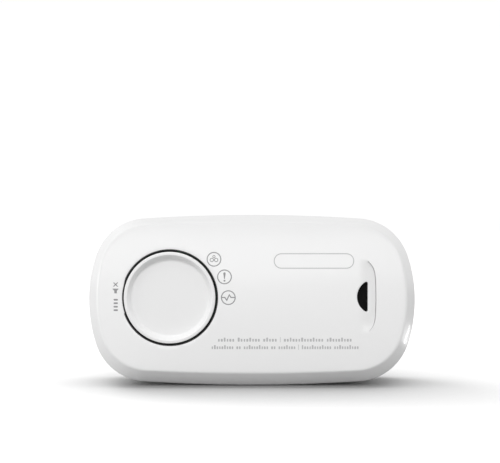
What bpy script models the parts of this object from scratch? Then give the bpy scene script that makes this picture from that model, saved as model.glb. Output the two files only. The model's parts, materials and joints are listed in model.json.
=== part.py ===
"""Carbon monoxide alarm: a sealed, battery-powered unit in a bowed oblong case.

Frame: metres, +Z up, +X to the right when the front is looked at, front face towards -Y.
The origin is the middle of the underside of the bounding box.
"""
import bpy
import bmesh
from math import cos, sin, pi, radians, atan2, sqrt, hypot, asin

for ob in list(bpy.data.objects):
    bpy.data.objects.remove(ob, do_unlink=True)

MM = 0.001

# ---------------------------------------------------------------- driving dimensions (mm)
WIDTH = 120.0            # across the bowed sides
HEIGHT = 62.7            # floor to top
DEPTH = 36.0             # button rim to wall face
WALL = 2.2               # case wall
GAP = 0.3                # clearance between neighbouring pieces

FRONT_Y = -17.6          # crown of the front face
CREASE_Y = -17.0         # edge of the front face, where the chamfer starts
RIDGE_Y = -9.0           # widest section of the case
PART_Y = 4.0             # joint between the front and rear covers
REAR_Y = 18.0            # wall face

RIDGE = dict(a=60.0, b=31.35, zc=31.35, r_side=52.0, r_top=600.0, r_corner=20.0)
CREASE = dict(a=55.8, b=27.25, zc=32.75, r_side=54.0, r_top=765.0, r_corner=17.5)
PARTING = dict(a=59.2, b=30.75, zc=31.15, r_side=52.0, r_top=600.0, r_corner=19.6)
REAR_EDGE = dict(a=58.0, b=29.85, zc=31.0, r_side=52.0, r_top=600.0, r_corner=19.0)
REAR_FACE = dict(a=55.6, b=27.5, zc=31.0, r_side=52.0, r_top=600.0, r_corner=17.0)

BTN_X, BTN_Z = -29.6, 32.7          # test button centre
BTN_R = 16.6                        # button rim radius
BTN_HOLE_R = 17.7                   # aperture radius
BEZEL_R0, BEZEL_R1 = 17.05, 17.4    # black bezel ring lining the aperture
BTN_FLOOR_R = 13.9                  # radius of the recessed pad
HINGE_X, HINGE_Y = -50.5, -12.5     # button hinge axis, parallel to Z
HINGE_PIN_R = 0.8
TONGUE_W = 12.4                     # hinge tongue width
BTN_TRAVEL_DEG = 1.6

SWITCH_X = -33.0                    # test switch under the button
BOARD = dict(x0=-40.5, x1=14.0, z0=8.0, z1=56.0, y0=1.0, t=1.6)

ICON_R = 21.1                       # indicator distance from the button centre
ICON_ANGLES = (40.9, 20.8, 0.1)     # degrees above the X direction

SND_X, SND_Z, SND_R = 40.0, 33.1, 14.0     # sounder
CO_X, CO_Z, CO_R = 6.0, 34.0, 7.4          # electrochemical cell body radius set below
BAT_Y, BAT_Z, BAT_R = 6.5, 31.0, 8.5       # lithium cell
BAT_X0, BAT_X1 = 16.2, 49.6

CASE_SCREWS = ((-45.0, 11.3), (45.0, 11.3), (-45.0, 51.3), (45.0, 51.3))
BOARD_SCREWS = ((-24.0, 11.6), (-24.0, 52.6))
KEYHOLES = ((-35.0, 47.0), (35.0, 47.0))   # wall screw heads enter here
KEY_HEAD_R, KEY_SLOT_R, KEY_RISE = 4.0, 2.35, 5.5
SLIDER_X, SLIDER_Z, SLIDER_TRAVEL = -20.0, 20.0, 3.0

# ---------------------------------------------------------------- collections
parts = bpy.data.collections.new("carbon_monoxide_alarm")
cutters = bpy.data.collections.new("cutters")
bpy.context.scene.collection.children.link(parts)
bpy.context.scene.collection.children.link(cutters)


# ---------------------------------------------------------------- materials
def material(name, color, rough, metal=0.0):
    m = bpy.data.materials.new(name)
    m.use_nodes = True
    bsdf = m.node_tree.nodes["Principled BSDF"]
    bsdf.inputs["Base Color"].default_value = (*color, 1.0)
    bsdf.inputs["Roughness"].default_value = rough
    bsdf.inputs["Metallic"].default_value = metal
    m.diffuse_color = (*color, 1.0)
    return m


# ---------------------------------------------------------------- helpers
def place(ob, name, mat=None, loc=(0, 0, 0), rot=(0, 0, 0), guide=False):
    ob.name = name
    ob.data.name = name
    for c in list(ob.users_collection):
        c.objects.unlink(ob)
    (cutters if guide else parts).objects.link(ob)
    ob.location = [v * MM for v in loc]
    ob.rotation_euler = rot
    if guide:
        ob.hide_render = True
        ob.display_type = "WIRE"
    if mat is not None:
        ob.data.materials.clear()
        ob.data.materials.append(mat)
    return ob


def mesh_object(name, bm, **kw):
    me = bpy.data.meshes.new(name)
    bmesh.ops.recalc_face_normals(bm, faces=bm.faces)
    bm.to_mesh(me)
    bm.free()
    return place(bpy.data.objects.new(name, me), name, **kw)


def box(name, size, **kw):
    bm = bmesh.new()
    bmesh.ops.create_cube(bm, size=1.0)
    bmesh.ops.scale(bm, vec=[s * MM for s in size], verts=bm.verts)
    return mesh_object(name, bm, **kw)


def box_between(name, lo, hi, **kw):
    return box(name, [h - l for l, h in zip(lo, hi)],
               loc=[(l + h) / 2 for l, h in zip(lo, hi)], **kw)


def cylinder(name, r, length, sides=24, **kw):
    bm = bmesh.new()
    bmesh.ops.create_cone(bm, cap_ends=True, segments=sides, radius1=r * MM,
                          radius2=r * MM, depth=length * MM)
    return mesh_object(name, bm, **kw)


FACE_FRONT = (pi / 2, 0, 0)      # local +Z turned to -Y, towards the front
ALONG_X = (0, pi / 2, 0)         # local +Z turned to +X


def peg(name, r, x, z, y0, y1, sides=24, **kw):
    """Cylinder along Y from y0 to y1."""
    return cylinder(name, r, y1 - y0, sides, loc=(x, (y0 + y1) / 2, z), rot=FACE_FRONT, **kw)


def turned(name, profile, steps, closed=False, smooth=True, **kw):
    """Profile of (radius, height) in mm, down the outer side, spun about local Z."""
    me = bpy.data.meshes.new(name)
    verts = [(r * MM, 0.0, h * MM) for r, h in profile]
    n = len(verts)
    edges = [(i, i + 1) for i in range(n - 1)] + ([(n - 1, 0)] if closed else [])
    me.from_pydata(verts, edges, [])
    ob = place(bpy.data.objects.new(name, me), name, **kw)
    s = ob.modifiers.new("spin", "SCREW")
    s.axis = "Z"
    s.angle = 2 * pi
    s.screw_offset = 0.0
    s.steps = s.render_steps = steps
    s.use_merge_vertices = True
    s.merge_threshold = 0.00001
    s.use_smooth_shade = smooth
    return ob


def boolean(target, other, op):
    m = target.modifiers.new(op.lower() + "_" + other.name, "BOOLEAN")
    m.operation = op
    m.solver = "EXACT"
    m.object = other
    return target


def cut(target, *others):
    for o in others:
        boolean(target, o, "DIFFERENCE")
    return target


def join(target, *others):
    for o in others:
        boolean(target, o, "UNION")
    return target


def bevel(ob, width, segments=1, angle=40):
    b = ob.modifiers.new("edge", "BEVEL")
    b.width = width * MM
    b.segments = segments
    b.limit_method = "ANGLE"
    b.angle_limit = radians(angle)
    return ob


def flat_outline(name, points, thickness, y_mid, **kw):
    """Closed outline of (x, z) points in mm, extruded along Y about y_mid, made a mesh."""
    cu = bpy.data.curves.new(name + "_curve", "CURVE")
    cu.dimensions = "2D"
    cu.fill_mode = "BOTH"
    cu.extrude = thickness / 2 * MM
    sp = cu.splines.new("POLY")
    sp.points.add(len(points) - 1)
    for p, (x, z) in zip(sp.points, points):
        p.co = (x * MM, z * MM, 0.0, 1.0)
    sp.use_cyclic_u = True
    tmp = bpy.data.objects.new(name + "_curve", cu)
    bpy.context.scene.collection.objects.link(tmp)
    tmp.rotation_euler = FACE_FRONT
    tmp.location = (0, y_mid * MM, 0)
    bpy.context.view_layer.update()
    dg = bpy.context.evaluated_depsgraph_get()
    me = bpy.data.meshes.new_from_object(tmp.evaluated_get(dg))
    bm = bmesh.new()
    bm.from_mesh(me)
    bmesh.ops.remove_doubles(bm, verts=bm.verts, dist=0.000001)
    bmesh.ops.recalc_face_normals(bm, faces=bm.faces)
    bm.to_mesh(me)
    bm.free()
    ob = place(bpy.data.objects.new(name, me), name, **kw)
    ob.matrix_world = tmp.matrix_world
    bpy.data.objects.remove(tmp, do_unlink=True)
    bpy.data.curves.remove(cu)
    return ob


def wire(name, route, r, mat, count=14):
    """Insulated wire: a tube along a smooth curve through the route's points."""
    def spline(t):
        n = len(route) - 1
        i = min(int(t * n), n - 1)
        u = t * n - i
        p = [route[max(i - 1, 0)], route[i], route[i + 1], route[min(i + 2, n)]]
        return [0.5 * (2 * b + (c - a) * u + (2 * a - 5 * b + 4 * c - d) * u * u
                       + (3 * b - a - 3 * c + d) * u ** 3)
                for a, b, c, d in zip(*p)]
    cu = bpy.data.curves.new(name, "CURVE")
    cu.dimensions = "3D"
    cu.bevel_depth = r * MM
    cu.bevel_resolution = 2
    cu.use_fill_caps = True
    sp = cu.splines.new("POLY")
    sp.points.add(count - 1)
    for k in range(count):
        x, y, z = spline(k / (count - 1))
        sp.points[k].co = (x * MM, y * MM, z * MM, 1.0)
    return place(bpy.data.objects.new(name, cu), name, mat=mat)


# ---------------------------------------------------------------- the case outline
def bowed_outline(a, b, zc, r_side, r_top, r_corner, n_side=3, n_corner=6, n_top=3):
    """Oblong with slightly bowed sides: three tangent arcs in each quarter, (x, z) in mm."""
    c1, q1 = (a - r_side, 0.0), r_side - r_corner
    c2, q2 = (0.0, b - r_top), r_top - r_corner
    dx, dz = c2[0] - c1[0], c2[1] - c1[1]
    d = hypot(dx, dz)
    h = (q1 * q1 - q2 * q2 + d * d) / (2 * d)
    k = sqrt(q1 * q1 - h * h)
    mx, mz = c1[0] + dx * h / d, c1[1] + dz * h / d
    px, pz = max(((mx - dz / d * s, mz + dx / d * s) for s in (k, -k)), key=lambda p: p[0] + p[1])
    ts = atan2(pz - c1[1], px - c1[0])
    tt = atan2(pz - c2[1], px - c2[0])
    quarter = [(c1[0] + r_side * cos(ts * i / n_side), r_side * sin(ts * i / n_side))
               for i in range(n_side)]
    quarter += [(px + r_corner * cos(ts + (tt - ts) * i / n_corner),
                 pz + r_corner * sin(ts + (tt - ts) * i / n_corner)) for i in range(n_corner)]
    quarter += [(r_top * cos(tt + (pi / 2 - tt) * i / n_top),
                 c2[1] + r_top * sin(tt + (pi / 2 - tt) * i / n_top)) for i in range(n_top + 1)]
    loop = quarter + [(-x, z) for x, z in quarter[-2::-1]]
    loop += [(x, -z) for x, z in loop[-2:0:-1]]
    return [(x, z + zc) for x, z in loop]


def loft(name, rings, centre, mat):
    """Open lofted skin from the centre point of the closed end, through each ring."""
    bm = bmesh.new()
    loops = [[bm.verts.new((x * MM, y * MM, z * MM)) for x, z in ring] for y, ring in rings]
    apex = bm.verts.new([v * MM for v in centre])
    n = len(loops[0])
    for i in range(n):
        j = (i + 1) % n
        bm.faces.new((apex, loops[0][i], loops[0][j]))
        for inner, outer in zip(loops, loops[1:]):
            bm.faces.new((inner[i], outer[i], outer[j], inner[j]))
    bmesh.ops.recalc_face_normals(bm, faces=bm.faces)
    me = bpy.data.meshes.new(name)
    bm.to_mesh(me)
    bm.free()
    ob = place(bpy.data.objects.new(name, me), name, mat=mat)
    s = ob.modifiers.new("wall", "SOLIDIFY")
    s.thickness = WALL * MM
    s.offset = -1.0
    s.use_even_offset = True
    s.use_quality_normals = True
    return ob


def scaled(ring, k, zc):
    return [(x * k, zc + (z - zc) * k) for x, z in ring]


def face_y(x, z):
    """Front face height at a point: a shallow crown from the middle to the crease."""
    k2 = (x / CREASE["a"]) ** 2 + ((z - CREASE["zc"]) / CREASE["b"]) ** 2
    return FRONT_Y + (CREASE_Y - FRONT_Y) * min(k2, 1.0)


# ---------------------------------------------------------------- materials in use
white_case = material("white_case", (0.86, 0.86, 0.855), 0.32)
white_rear = material("white_rear", (0.84, 0.84, 0.835), 0.42)
white_button = material("white_button", (0.87, 0.87, 0.865), 0.34)
steel = material("steel", (0.62, 0.62, 0.63), 0.28, 1.0)
zinc_screw = material("zinc_screw", (0.70, 0.70, 0.70), 0.3, 1.0)
black_mesh = material("black_mesh", (0.012, 0.012, 0.012), 0.85)
black_plastic = material("black_plastic", (0.02, 0.02, 0.021), 0.45)
grey_plastic = material("grey_plastic", (0.22, 0.22, 0.225), 0.5)
brass = material("brass", (0.80, 0.58, 0.26), 0.3, 1.0)
ceramic = material("ceramic", (0.82, 0.80, 0.74), 0.5)
board_green = material("board_green", (0.02, 0.20, 0.075), 0.35)
chip_black = material("chip_black", (0.018, 0.018, 0.018), 0.5)
copper = material("copper", (0.75, 0.30, 0.12), 0.3, 1.0)
ferrite = material("ferrite", (0.06, 0.06, 0.065), 0.6)
can_sleeve = material("can_sleeve", (0.02, 0.05, 0.16), 0.35)
rubber = material("rubber", (0.03, 0.03, 0.03), 0.8)
clear = material("clear_acrylic", (0.85, 0.88, 0.90), 0.08)
led_red = material("led_red", (0.75, 0.04, 0.03), 0.25)
led_amber = material("led_amber", (0.85, 0.42, 0.03), 0.25)
led_green = material("led_green", (0.05, 0.60, 0.12), 0.25)
cell_wrap = material("cell_wrap", (0.10, 0.22, 0.42), 0.35)
nickel = material("nickel", (0.72, 0.70, 0.66), 0.25, 1.0)
foam = material("foam", (0.05, 0.05, 0.05), 0.95)
paper = material("label_paper", (0.78, 0.78, 0.78), 0.6)
wire_red = material("wire_red", (0.60, 0.03, 0.03), 0.45)
wire_black = material("wire_black", (0.02, 0.02, 0.02), 0.45)
slider_red = material("slider_red", (0.62, 0.04, 0.03), 0.4)

# ---------------------------------------------------------------- front cover
crease = bowed_outline(**CREASE)
front_rings = []
for k in (0.38, 0.74):
    y = FRONT_Y + (CREASE_Y - FRONT_Y) * k * k
    front_rings.append((y, scaled(crease, k, CREASE["zc"])))
front_rings += [(CREASE_Y, crease),
                (RIDGE_Y, bowed_outline(**RIDGE)),
                (PART_Y, bowed_outline(**PARTING))]
front_cover = loft("front_cover", front_rings, (0.0, FRONT_Y, CREASE["zc"]), white_case)

# screw posts that the case screws bite into
for i, (x, z) in enumerate(CASE_SCREWS, 1):
    join(front_cover, peg(f"front_post_{i}", 3.2, x, z, -15.4, PART_Y - 0.4, 20, guide=True))
# ears that carry the button's hinge pin
for side in (-1, 1):
    z0 = BTN_Z + side * (TONGUE_W / 2 + 0.5)
    z1 = z0 + side * 2.6
    join(front_cover, box_between(f"hinge_ear_{'low' if side < 0 else 'high'}",
                                  (HINGE_X - 1.9, -15.6, min(z0, z1)),
                                  (HINGE_X + 1.9, HINGE_Y + 1.9, max(z0, z1)), guide=True))
# ring that locates the sounder
join(front_cover, turned("sounder_ring",
                         [(SND_R + 0.35, 3.2), (SND_R + 1.6, 3.2), (SND_R + 1.6, -2.9), (SND_R + 0.35, -2.9)],
                         28, closed=True, loc=(SND_X, -12.4, SND_Z), rot=FACE_FRONT, guide=True))

# aperture for the test button
cut(front_cover, peg("button_aperture", BTN_HOLE_R, BTN_X, BTN_Z, -20.0, -14.0, 56, guide=True))

# pockets behind the indicator symbols, leaving a thin translucent skin
ICONS = [(BTN_X + ICON_R * cos(radians(t)), BTN_Z + ICON_R * sin(radians(t))) for t in ICON_ANGLES]
for i, (x, z) in enumerate(ICONS, 1):
    cut(front_cover, peg(f"indicator_pocket_{i}", 2.0, x, z, face_y(x, z) + 0.8, -12.0, 20, guide=True))


# D-shaped sound opening: straight right side, bowed left side, rounded tips
def d_outline(xr, half_h, bulge, zc, r_tip=0.7, n=10):
    rad = (half_h ** 2 + bulge ** 2) / (2 * bulge)
    cx = xr - bulge + rad
    pts = []
    half = asin((half_h - r_tip) / rad)
    for i in range(n + 1):                        # bowed side, top to bottom
        t = half - 2 * half * i / n
        pts.append((cx - rad * cos(t), zc + rad * sin(t)))
    pts.append((xr - 0.55, zc - half_h))
    pts.append((xr, zc - half_h + 0.9))
    pts.append((xr, zc + half_h - 0.9))
    pts.append((xr - 0.55, zc + half_h))
    return pts


D_RIGHT, D_HALF_H, D_BULGE, D_Z = 41.74, 5.75, 3.9, 33.0
cut(front_cover, flat_outline("sound_opening", d_outline(D_RIGHT, D_HALF_H, D_BULGE, D_Z),
                              8.0, -16.0, guide=True))


# shallow thumb scallop: a sloping floor that ends at a curved step right of the opening
def scallop_outline(n=14):
    z0, z1, x_mid = 20.2, 45.9, 44.75
    pts = [(38.4, z1), (38.4, z0)]
    for i in range(n + 1):
        s = -1 + 2 * i / n
        pts.append((x_mid - 3.2 * s ** 6 - 0.5 * s * s, (z0 + z1) / 2 + (z1 - z0) / 2 * s))
    return pts


scallop = flat_outline("thumb_scallop", scallop_outline(), 6.0, 0.0, guide=True)
SCALLOP_DEPTH = 1.0
slope = atan2(SCALLOP_DEPTH, 44.75 - 38.4)
# hinge the cutter about the line where its floor meets the face
hx, hy = 38.4, face_y(38.4, D_Z)
scallop.rotation_euler = (pi / 2, 0, slope)
scallop.location = ((hx - hx * cos(slope) + (-3.0) * -sin(slope) * -1) * MM,
                    (hy - hx * sin(slope) - 3.0 * cos(slope)) * MM, 0)
cut(front_cover, scallop)

# screw pilots and the hinge pin's bore
for i, (x, z) in enumerate(CASE_SCREWS, 1):
    cut(front_cover, peg(f"front_pilot_{i}", 1.65, x, z, -9.0, PART_Y + 2.0, 14, guide=True))
cut(front_cover, cylinder("hinge_bore", HINGE_PIN_R + GAP, TONGUE_W + 8.0, 16,
                          loc=(HINGE_X, HINGE_Y, BTN_Z), guide=True))

# ---------------------------------------------------------------- rear cover
rear_rings = []
rear_face = bowed_outline(**REAR_FACE)
for k in (0.5,):
    rear_rings.append((REAR_Y, scaled(rear_face, k, REAR_FACE["zc"])))
rear_rings += [(REAR_Y, rear_face)]
for t in (0.35, 0.75):                          # rounded rear edge
    ang = t * pi / 2
    mix = sin(ang)
    ring = [(xf + (xe - xf) * mix, zf + (ze - zf) * mix)
            for (xf, zf), (xe, ze) in zip(rear_face, bowed_outline(**REAR_EDGE))]
    rear_rings.append((REAR_Y - 2.6 * (1 - cos(ang)), ring))
rear_rings += [(REAR_Y - 2.6, bowed_outline(**REAR_EDGE)),
               (PART_Y + GAP, bowed_outline(**PARTING))]
rear_cover = loft("rear_cover", rear_rings, (0.0, REAR_Y, REAR_FACE["zc"]), white_rear)

# screw sleeves, board posts, cradle ribs for the cell, and two feet under the rear edge
for i, (x, z) in enumerate(CASE_SCREWS, 1):
    join(rear_cover, peg(f"rear_sleeve_{i}", 4.4, x, z, PART_Y + GAP, 16.6, 24, guide=True))
for i, (x, z) in enumerate(BOARD_SCREWS, 1):
    join(rear_cover, peg(f"board_post_{i}", 2.6, x, z, 2.9, 16.6, 18, guide=True))
for i, x in enumerate((22.0, 44.0), 1):
    rib = box_between(f"cell_rib_{i}", (x - 0.8, 5.4, BAT_Z - 10.2), (x + 0.8, 16.6, BAT_Z + 10.2), guide=True)
    join(rear_cover, rib)
for i, x in enumerate((-30.0, 30.0), 1):
    foot = box_between(f"foot_{i}", (x - 6.0, 8.0, 0.0), (x + 6.0, 14.5, 2.6), guide=True)
    bevel(foot, 0.5, 1, 60)
    join(rear_cover, foot)
cut(rear_cover, cylinder("cell_seat", BAT_R + 0.35, 36.0, 28, loc=(33.0, BAT_Y, BAT_Z), rot=ALONG_X, guide=True))

# keyholes for two wall screws
for i, (x, z) in enumerate(KEYHOLES, 1):
    cut(rear_cover, peg(f"keyhole_head_{i}", KEY_HEAD_R, x, z, 13.0, 20.0, 28, guide=True))
    slot = box_between(f"keyhole_slot_{i}", (x - KEY_SLOT_R, 13.0, z), (x + KEY_SLOT_R, 20.0, z + KEY_RISE), guide=True)
    cut(rear_cover, slot)
    cut(rear_cover, peg(f"keyhole_end_{i}", KEY_SLOT_R, x, z + KEY_RISE, 13.0, 20.0, 24, guide=True))

# opening for the on/off slider, recess for the rating label
cut(rear_cover, box_between("slider_window", (SLIDER_X - 2.0, 13.0, SLIDER_Z - 1.8),
                            (SLIDER_X + 2.0 + SLIDER_TRAVEL, 20.0, SLIDER_Z + 1.8), guide=True))
LABEL = dict(x=0.0, z=37.0, w=44.0, h=22.0)
cut(rear_cover, box_between("label_recess", (LABEL["x"] - LABEL["w"] / 2, 17.4, LABEL["z"] - LABEL["h"] / 2),
                            (LABEL["x"] + LABEL["w"] / 2, 20.0, LABEL["z"] + LABEL["h"] / 2), guide=True))

# air slots through the top and bottom walls
for i in range(6):
    x = -12.5 + 5.0 * i
    cut(rear_cover, box_between(f"air_slot_{i + 1}", (x - 0.8, 7.0, -2.0), (x + 0.8, 13.0, 66.0), guide=True))

# screw clearance and head counterbores, board screw pilots
for i, (x, z) in enumerate(CASE_SCREWS, 1):
    cut(rear_cover, peg(f"head_bore_{i}", 3.2, x, z, 12.4, 20.0, 22, guide=True))
    cut(rear_cover, peg(f"shank_bore_{i}", 1.8, x, z, 2.0, 14.0, 14, guide=True))
for i, (x, z) in enumerate(BOARD_SCREWS, 1):
    cut(rear_cover, peg(f"board_pilot_{i}", 1.4, x, z, 1.0, 12.0, 12, guide=True))

# ---------------------------------------------------------------- test button, hinged on its left
hinge_axis = bpy.data.objects.new("button_hinge_axis", None)
parts.objects.link(hinge_axis)
hinge_axis.location = (HINGE_X * MM, HINGE_Y * MM, BTN_Z * MM)

RIM_Y = -DEPTH / 2                       # the rim is the foremost part of the unit
front = -RIM_Y                           # height of the rim above y = 0
button = turned("test_button",
                [(0.0, front - 2.30), (7.0, front - 2.27), (12.6, front - 2.12), (13.6, front - 1.96),
                 (BTN_FLOOR_R + 0.25, front - 1.50), (15.2, front - 0.22), (15.6, front - 0.03), (15.9, front),
                 (16.25, front - 0.10), (16.5, front - 0.35), (BTN_R, front - 0.75),
                 (BTN_R, 12.4), (15.1, 12.4), (15.1, 14.4), (0.0, 14.4)],
                56, mat=white_button, loc=(BTN_X, 0, BTN_Z), rot=FACE_FRONT)
join(button,
     box_between("hinge_tongue", (HINGE_X + 0.4, HINGE_Y - 1.5, BTN_Z - TONGUE_W / 2),
                 (-43.7, HINGE_Y + 0.1, BTN_Z + TONGUE_W / 2), guide=True),
     cylinder("hinge_barrel", 1.7, TONGUE_W, 20, loc=(HINGE_X, HINGE_Y, BTN_Z), guide=True),
     peg("button_post", 2.0, SWITCH_X, BTN_Z, -15.0, -8.3, 20, guide=True))
cut(button, cylinder("barrel_bore", HINGE_PIN_R + GAP, TONGUE_W + 2.0, 16,
                     loc=(HINGE_X, HINGE_Y, BTN_Z), guide=True))
button.parent = hinge_axis
button.matrix_parent_inverse = hinge_axis.matrix_world.inverted()
bpy.context.view_layer.update()
button.location = [(BTN_X - HINGE_X) * MM, (0 - HINGE_Y) * MM, 0]
button.matrix_parent_inverse.identity()

turned("button_bezel", [(BEZEL_R0, 17.05), (BEZEL_R1, 17.05), (BEZEL_R1, 14.5), (BEZEL_R0, 14.5)], 56, closed=True,
       mat=black_plastic, loc=(BTN_X, 0, BTN_Z), rot=FACE_FRONT)
pin = cylinder("button_hinge_pin", HINGE_PIN_R, TONGUE_W + 6.6, 16, mat=steel, loc=(HINGE_X, HINGE_Y, BTN_Z))

# ---------------------------------------------------------------- sounder
mesh_points = [(x + (0.9 if x > D_RIGHT - 0.6 else -0.6), D_Z + (z - D_Z) * 1.16)
               for x, z in d_outline(D_RIGHT, D_HALF_H, D_BULGE, D_Z)]
flat_outline("acoustic_mesh", mesh_points, 0.25, -14.4, mat=black_mesh)
turned("sounder_housing",
       [(3.0, 13.95), (SND_R - 0.5, 13.95), (SND_R, 13.45), (SND_R, 5.6), (12.4, 5.6), (12.4, 7.5),
        (11.2, 7.5), (11.2, 12.6), (3.0, 12.6)],
       28, closed=True, mat=black_plastic, loc=(SND_X, 0, SND_Z), rot=FACE_FRONT)
turned("piezo_plate", [(0.0, 7.2), (12.0, 7.2), (12.0, 6.9), (0.0, 6.9)], 24, mat=brass,
       loc=(SND_X, 0, SND_Z), rot=FACE_FRONT)
turned("piezo_ceramic", [(0.0, 6.6), (9.0, 6.6), (9.0, 6.35), (0.0, 6.35)], 24, mat=ceramic,
       loc=(SND_X, 0, SND_Z), rot=FACE_FRONT)
sounder_cover = turned("sounder_cover", [(0.0, 5.3), (SND_R - 0.1, 5.3), (SND_R - 0.1, 4.5), (0.0, 4.5)], 28,
                       mat=grey_plastic, loc=(SND_X, 0, SND_Z), rot=FACE_FRONT)
SND_WIRES = ((SND_X - 8.0, SND_Z + 7.0), (SND_X - 5.0, SND_Z + 9.2))
for i, (x, z) in enumerate(SND_WIRES, 1):
    cut(sounder_cover, peg(f"sounder_wire_hole_{i}", 1.0, x, z, -7.0, -3.0, 12, guide=True))
for (name, mat, z_end), (x, z) in zip((("sounder_wire_red", wire_red, 46.0), ("sounder_wire_black", wire_black, 49.5)),
                                      SND_WIRES):
    wire(name, [(x, -6.0, z), (x, -4.6, z), (x - 1.2, -3.6, z + 0.4), (x - 7.0, -2.8, (z + z_end) / 2),
                (17.0, -2.4, z_end - 0.6), (12.0, -1.6, z_end), (11.0, 0.3, z_end)], 0.5, mat, 13)

# ---------------------------------------------------------------- main board and what it carries
def rounded_rect(x0, x1, z0, z1, r, n=4):
    pts = []
    for cx, cz, t0 in ((x1 - r, z1 - r, 0), (x0 + r, z1 - r, 90), (x0 + r, z0 + r, 180), (x1 - r, z0 + r, 270)):
        for i in range(n + 1):
            t = radians(t0 + 90 * i / n)
            pts.append((cx + r * cos(t), cz + r * sin(t)))
    return pts


BY0 = BOARD["y0"]
board = flat_outline("main_board", rounded_rect(BOARD["x0"], BOARD["x1"], BOARD["z0"], BOARD["z1"], 3.0),
                     BOARD["t"], BY0 + BOARD["t"] / 2, mat=board_green)
for i, (x, z) in enumerate(BOARD_SCREWS, 1):
    cut(board, peg(f"board_hole_{i}", 1.5, x, z, -1.0, 5.0, 16, guide=True))

FY = BY0 - GAP                           # parts on the front of the board end here
box_between("microcontroller", (-24.5, FY - 1.2, 16.5), (-15.5, FY, 25.5), mat=chip_black)
bevel(bpy.data.objects["microcontroller"], 0.25)
turned("transformer_core", [(0.0, 9.0), (4.8, 9.0), (4.8, 7.9), (2.0, 7.9), (2.0, 1.1), (4.8, 1.1), (4.8, 0.0), (0.0, 0.0)],
       16, mat=ferrite, loc=(-33.0, FY, 49.0), rot=FACE_FRONT)
turned("transformer_winding", [(2.3, 7.5), (4.3, 7.3), (4.3, 1.7), (2.3, 1.5)], 16, closed=True,
       mat=copper, loc=(-33.0, FY, 49.0), rot=FACE_FRONT)
turned("smoothing_capacitor", [(0.0, 7.8), (2.7, 7.8), (3.1, 7.4), (3.1, 1.5), (2.8, 1.2), (3.1, 0.9), (3.1, 0.0), (0.0, 0.0)],
       16, mat=can_sleeve, loc=(-14.0, FY, 13.0), rot=FACE_FRONT)
box_between("timing_crystal", (-9.0, FY - 1.4, 20.0), (-5.4, FY, 26.5), mat=steel)
bevel(bpy.data.objects["timing_crystal"], 0.4)

# electrochemical carbon monoxide cell
box_between("co_sensor_base", (CO_X - 8.0, FY - 1.7, CO_Z - 8.0), (CO_X + 8.0, FY, CO_Z + 8.0), mat=black_plastic)
bevel(bpy.data.objects["co_sensor_base"], 1.2, 2, 80)
turned("co_sensor_can", [(0.0, 13.2), (6.9, 13.2), (CO_R, 12.7), (CO_R, 11.2), (6.8, 10.9), (6.8, 10.3), (CO_R, 10.0),
                         (CO_R, 2.4), (7.1, 2.0), (0.0, 2.0)],
       24, mat=steel, loc=(CO_X, FY, CO_Z), rot=FACE_FRONT)
turned("co_sensor_gasket", [(5.35 + 0.55 * cos(radians(t)), 14.05 + 0.55 * sin(radians(t)))
                            for t in range(60, -300, -60)], 20, closed=True,
       mat=rubber, loc=(CO_X, FY, CO_Z), rot=FACE_FRONT)
turned("co_sensor_cap", [(0.7, 14.9), (3.6, 14.9), (4.3, 14.5), (4.3, 13.5), (0.7, 13.5)], 20, closed=True,
       mat=grey_plastic, loc=(CO_X, FY, CO_Z), rot=FACE_FRONT)

# indicator diodes and the light guides in front of them
for (name, mat), (x, z) in zip((("alarm", led_red), ("fault", led_amber), ("power", led_green)), ICONS):
    led = box_between(f"led_{name}", (x - 1.6, FY - 1.1, z - 0.9), (x + 1.6, FY, z + 0.9), mat=mat)
    bevel(led, 0.2)
    tip = -(face_y(x, z) + 0.8 + GAP)
    turned(f"light_guide_{name}", [(0.0, tip), (1.45, tip), (1.65, tip - 0.2), (1.65, 3.6), (2.3, 3.6), (2.3, 2.6),
                                   (1.65, 2.6), (1.65, 0.7), (0.0, 0.7)],
           12, mat=clear, loc=(x, 0, z), rot=FACE_FRONT)

# test switch: body and plunger
sw = box_between("test_switch_body", (SWITCH_X - 3.0, -2.9, BTN_Z - 3.0), (SWITCH_X + 3.0, FY, BTN_Z + 3.0), mat=chip_black)
cut(sw, peg("switch_well", 2.0, SWITCH_X, BTN_Z, -5.0, -0.9, 20, guide=True))
plunger = turned("test_switch_plunger", [(0.0, 3.1), (1.5, 3.1), (1.7, 2.9), (1.7, -3.1), (0.0, -3.1)], 20,
                 mat=grey_plastic, loc=(SWITCH_X, -4.9, BTN_Z), rot=FACE_FRONT)

# on/off slide switch on the back of the board, worked through the rear window
RY = BY0 + BOARD["t"] + GAP
swb = box_between("activation_switch_body", (SLIDER_X - 3.2, RY, SLIDER_Z - 2.4), (SLIDER_X + 6.2, RY + 3.8, SLIDER_Z + 2.4), mat=chip_black)
cut(swb, box_between("slider_well", (SLIDER_X - 1.5, RY + 1.6, SLIDER_Z - 1.4),
                     (SLIDER_X + 1.5 + SLIDER_TRAVEL, RY + 6.0, SLIDER_Z + 1.4), guide=True))
slider = box("activation_switch_slider", (2.2, 12.0, 2.0), mat=slider_red, loc=(SLIDER_X, RY + 8.0, SLIDER_Z))
join(slider, box_between("slider_head", (SLIDER_X - 1.6, 15.0, SLIDER_Z - 1.4), (SLIDER_X + 1.6, 17.3, SLIDER_Z + 1.4), guide=True))

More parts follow.
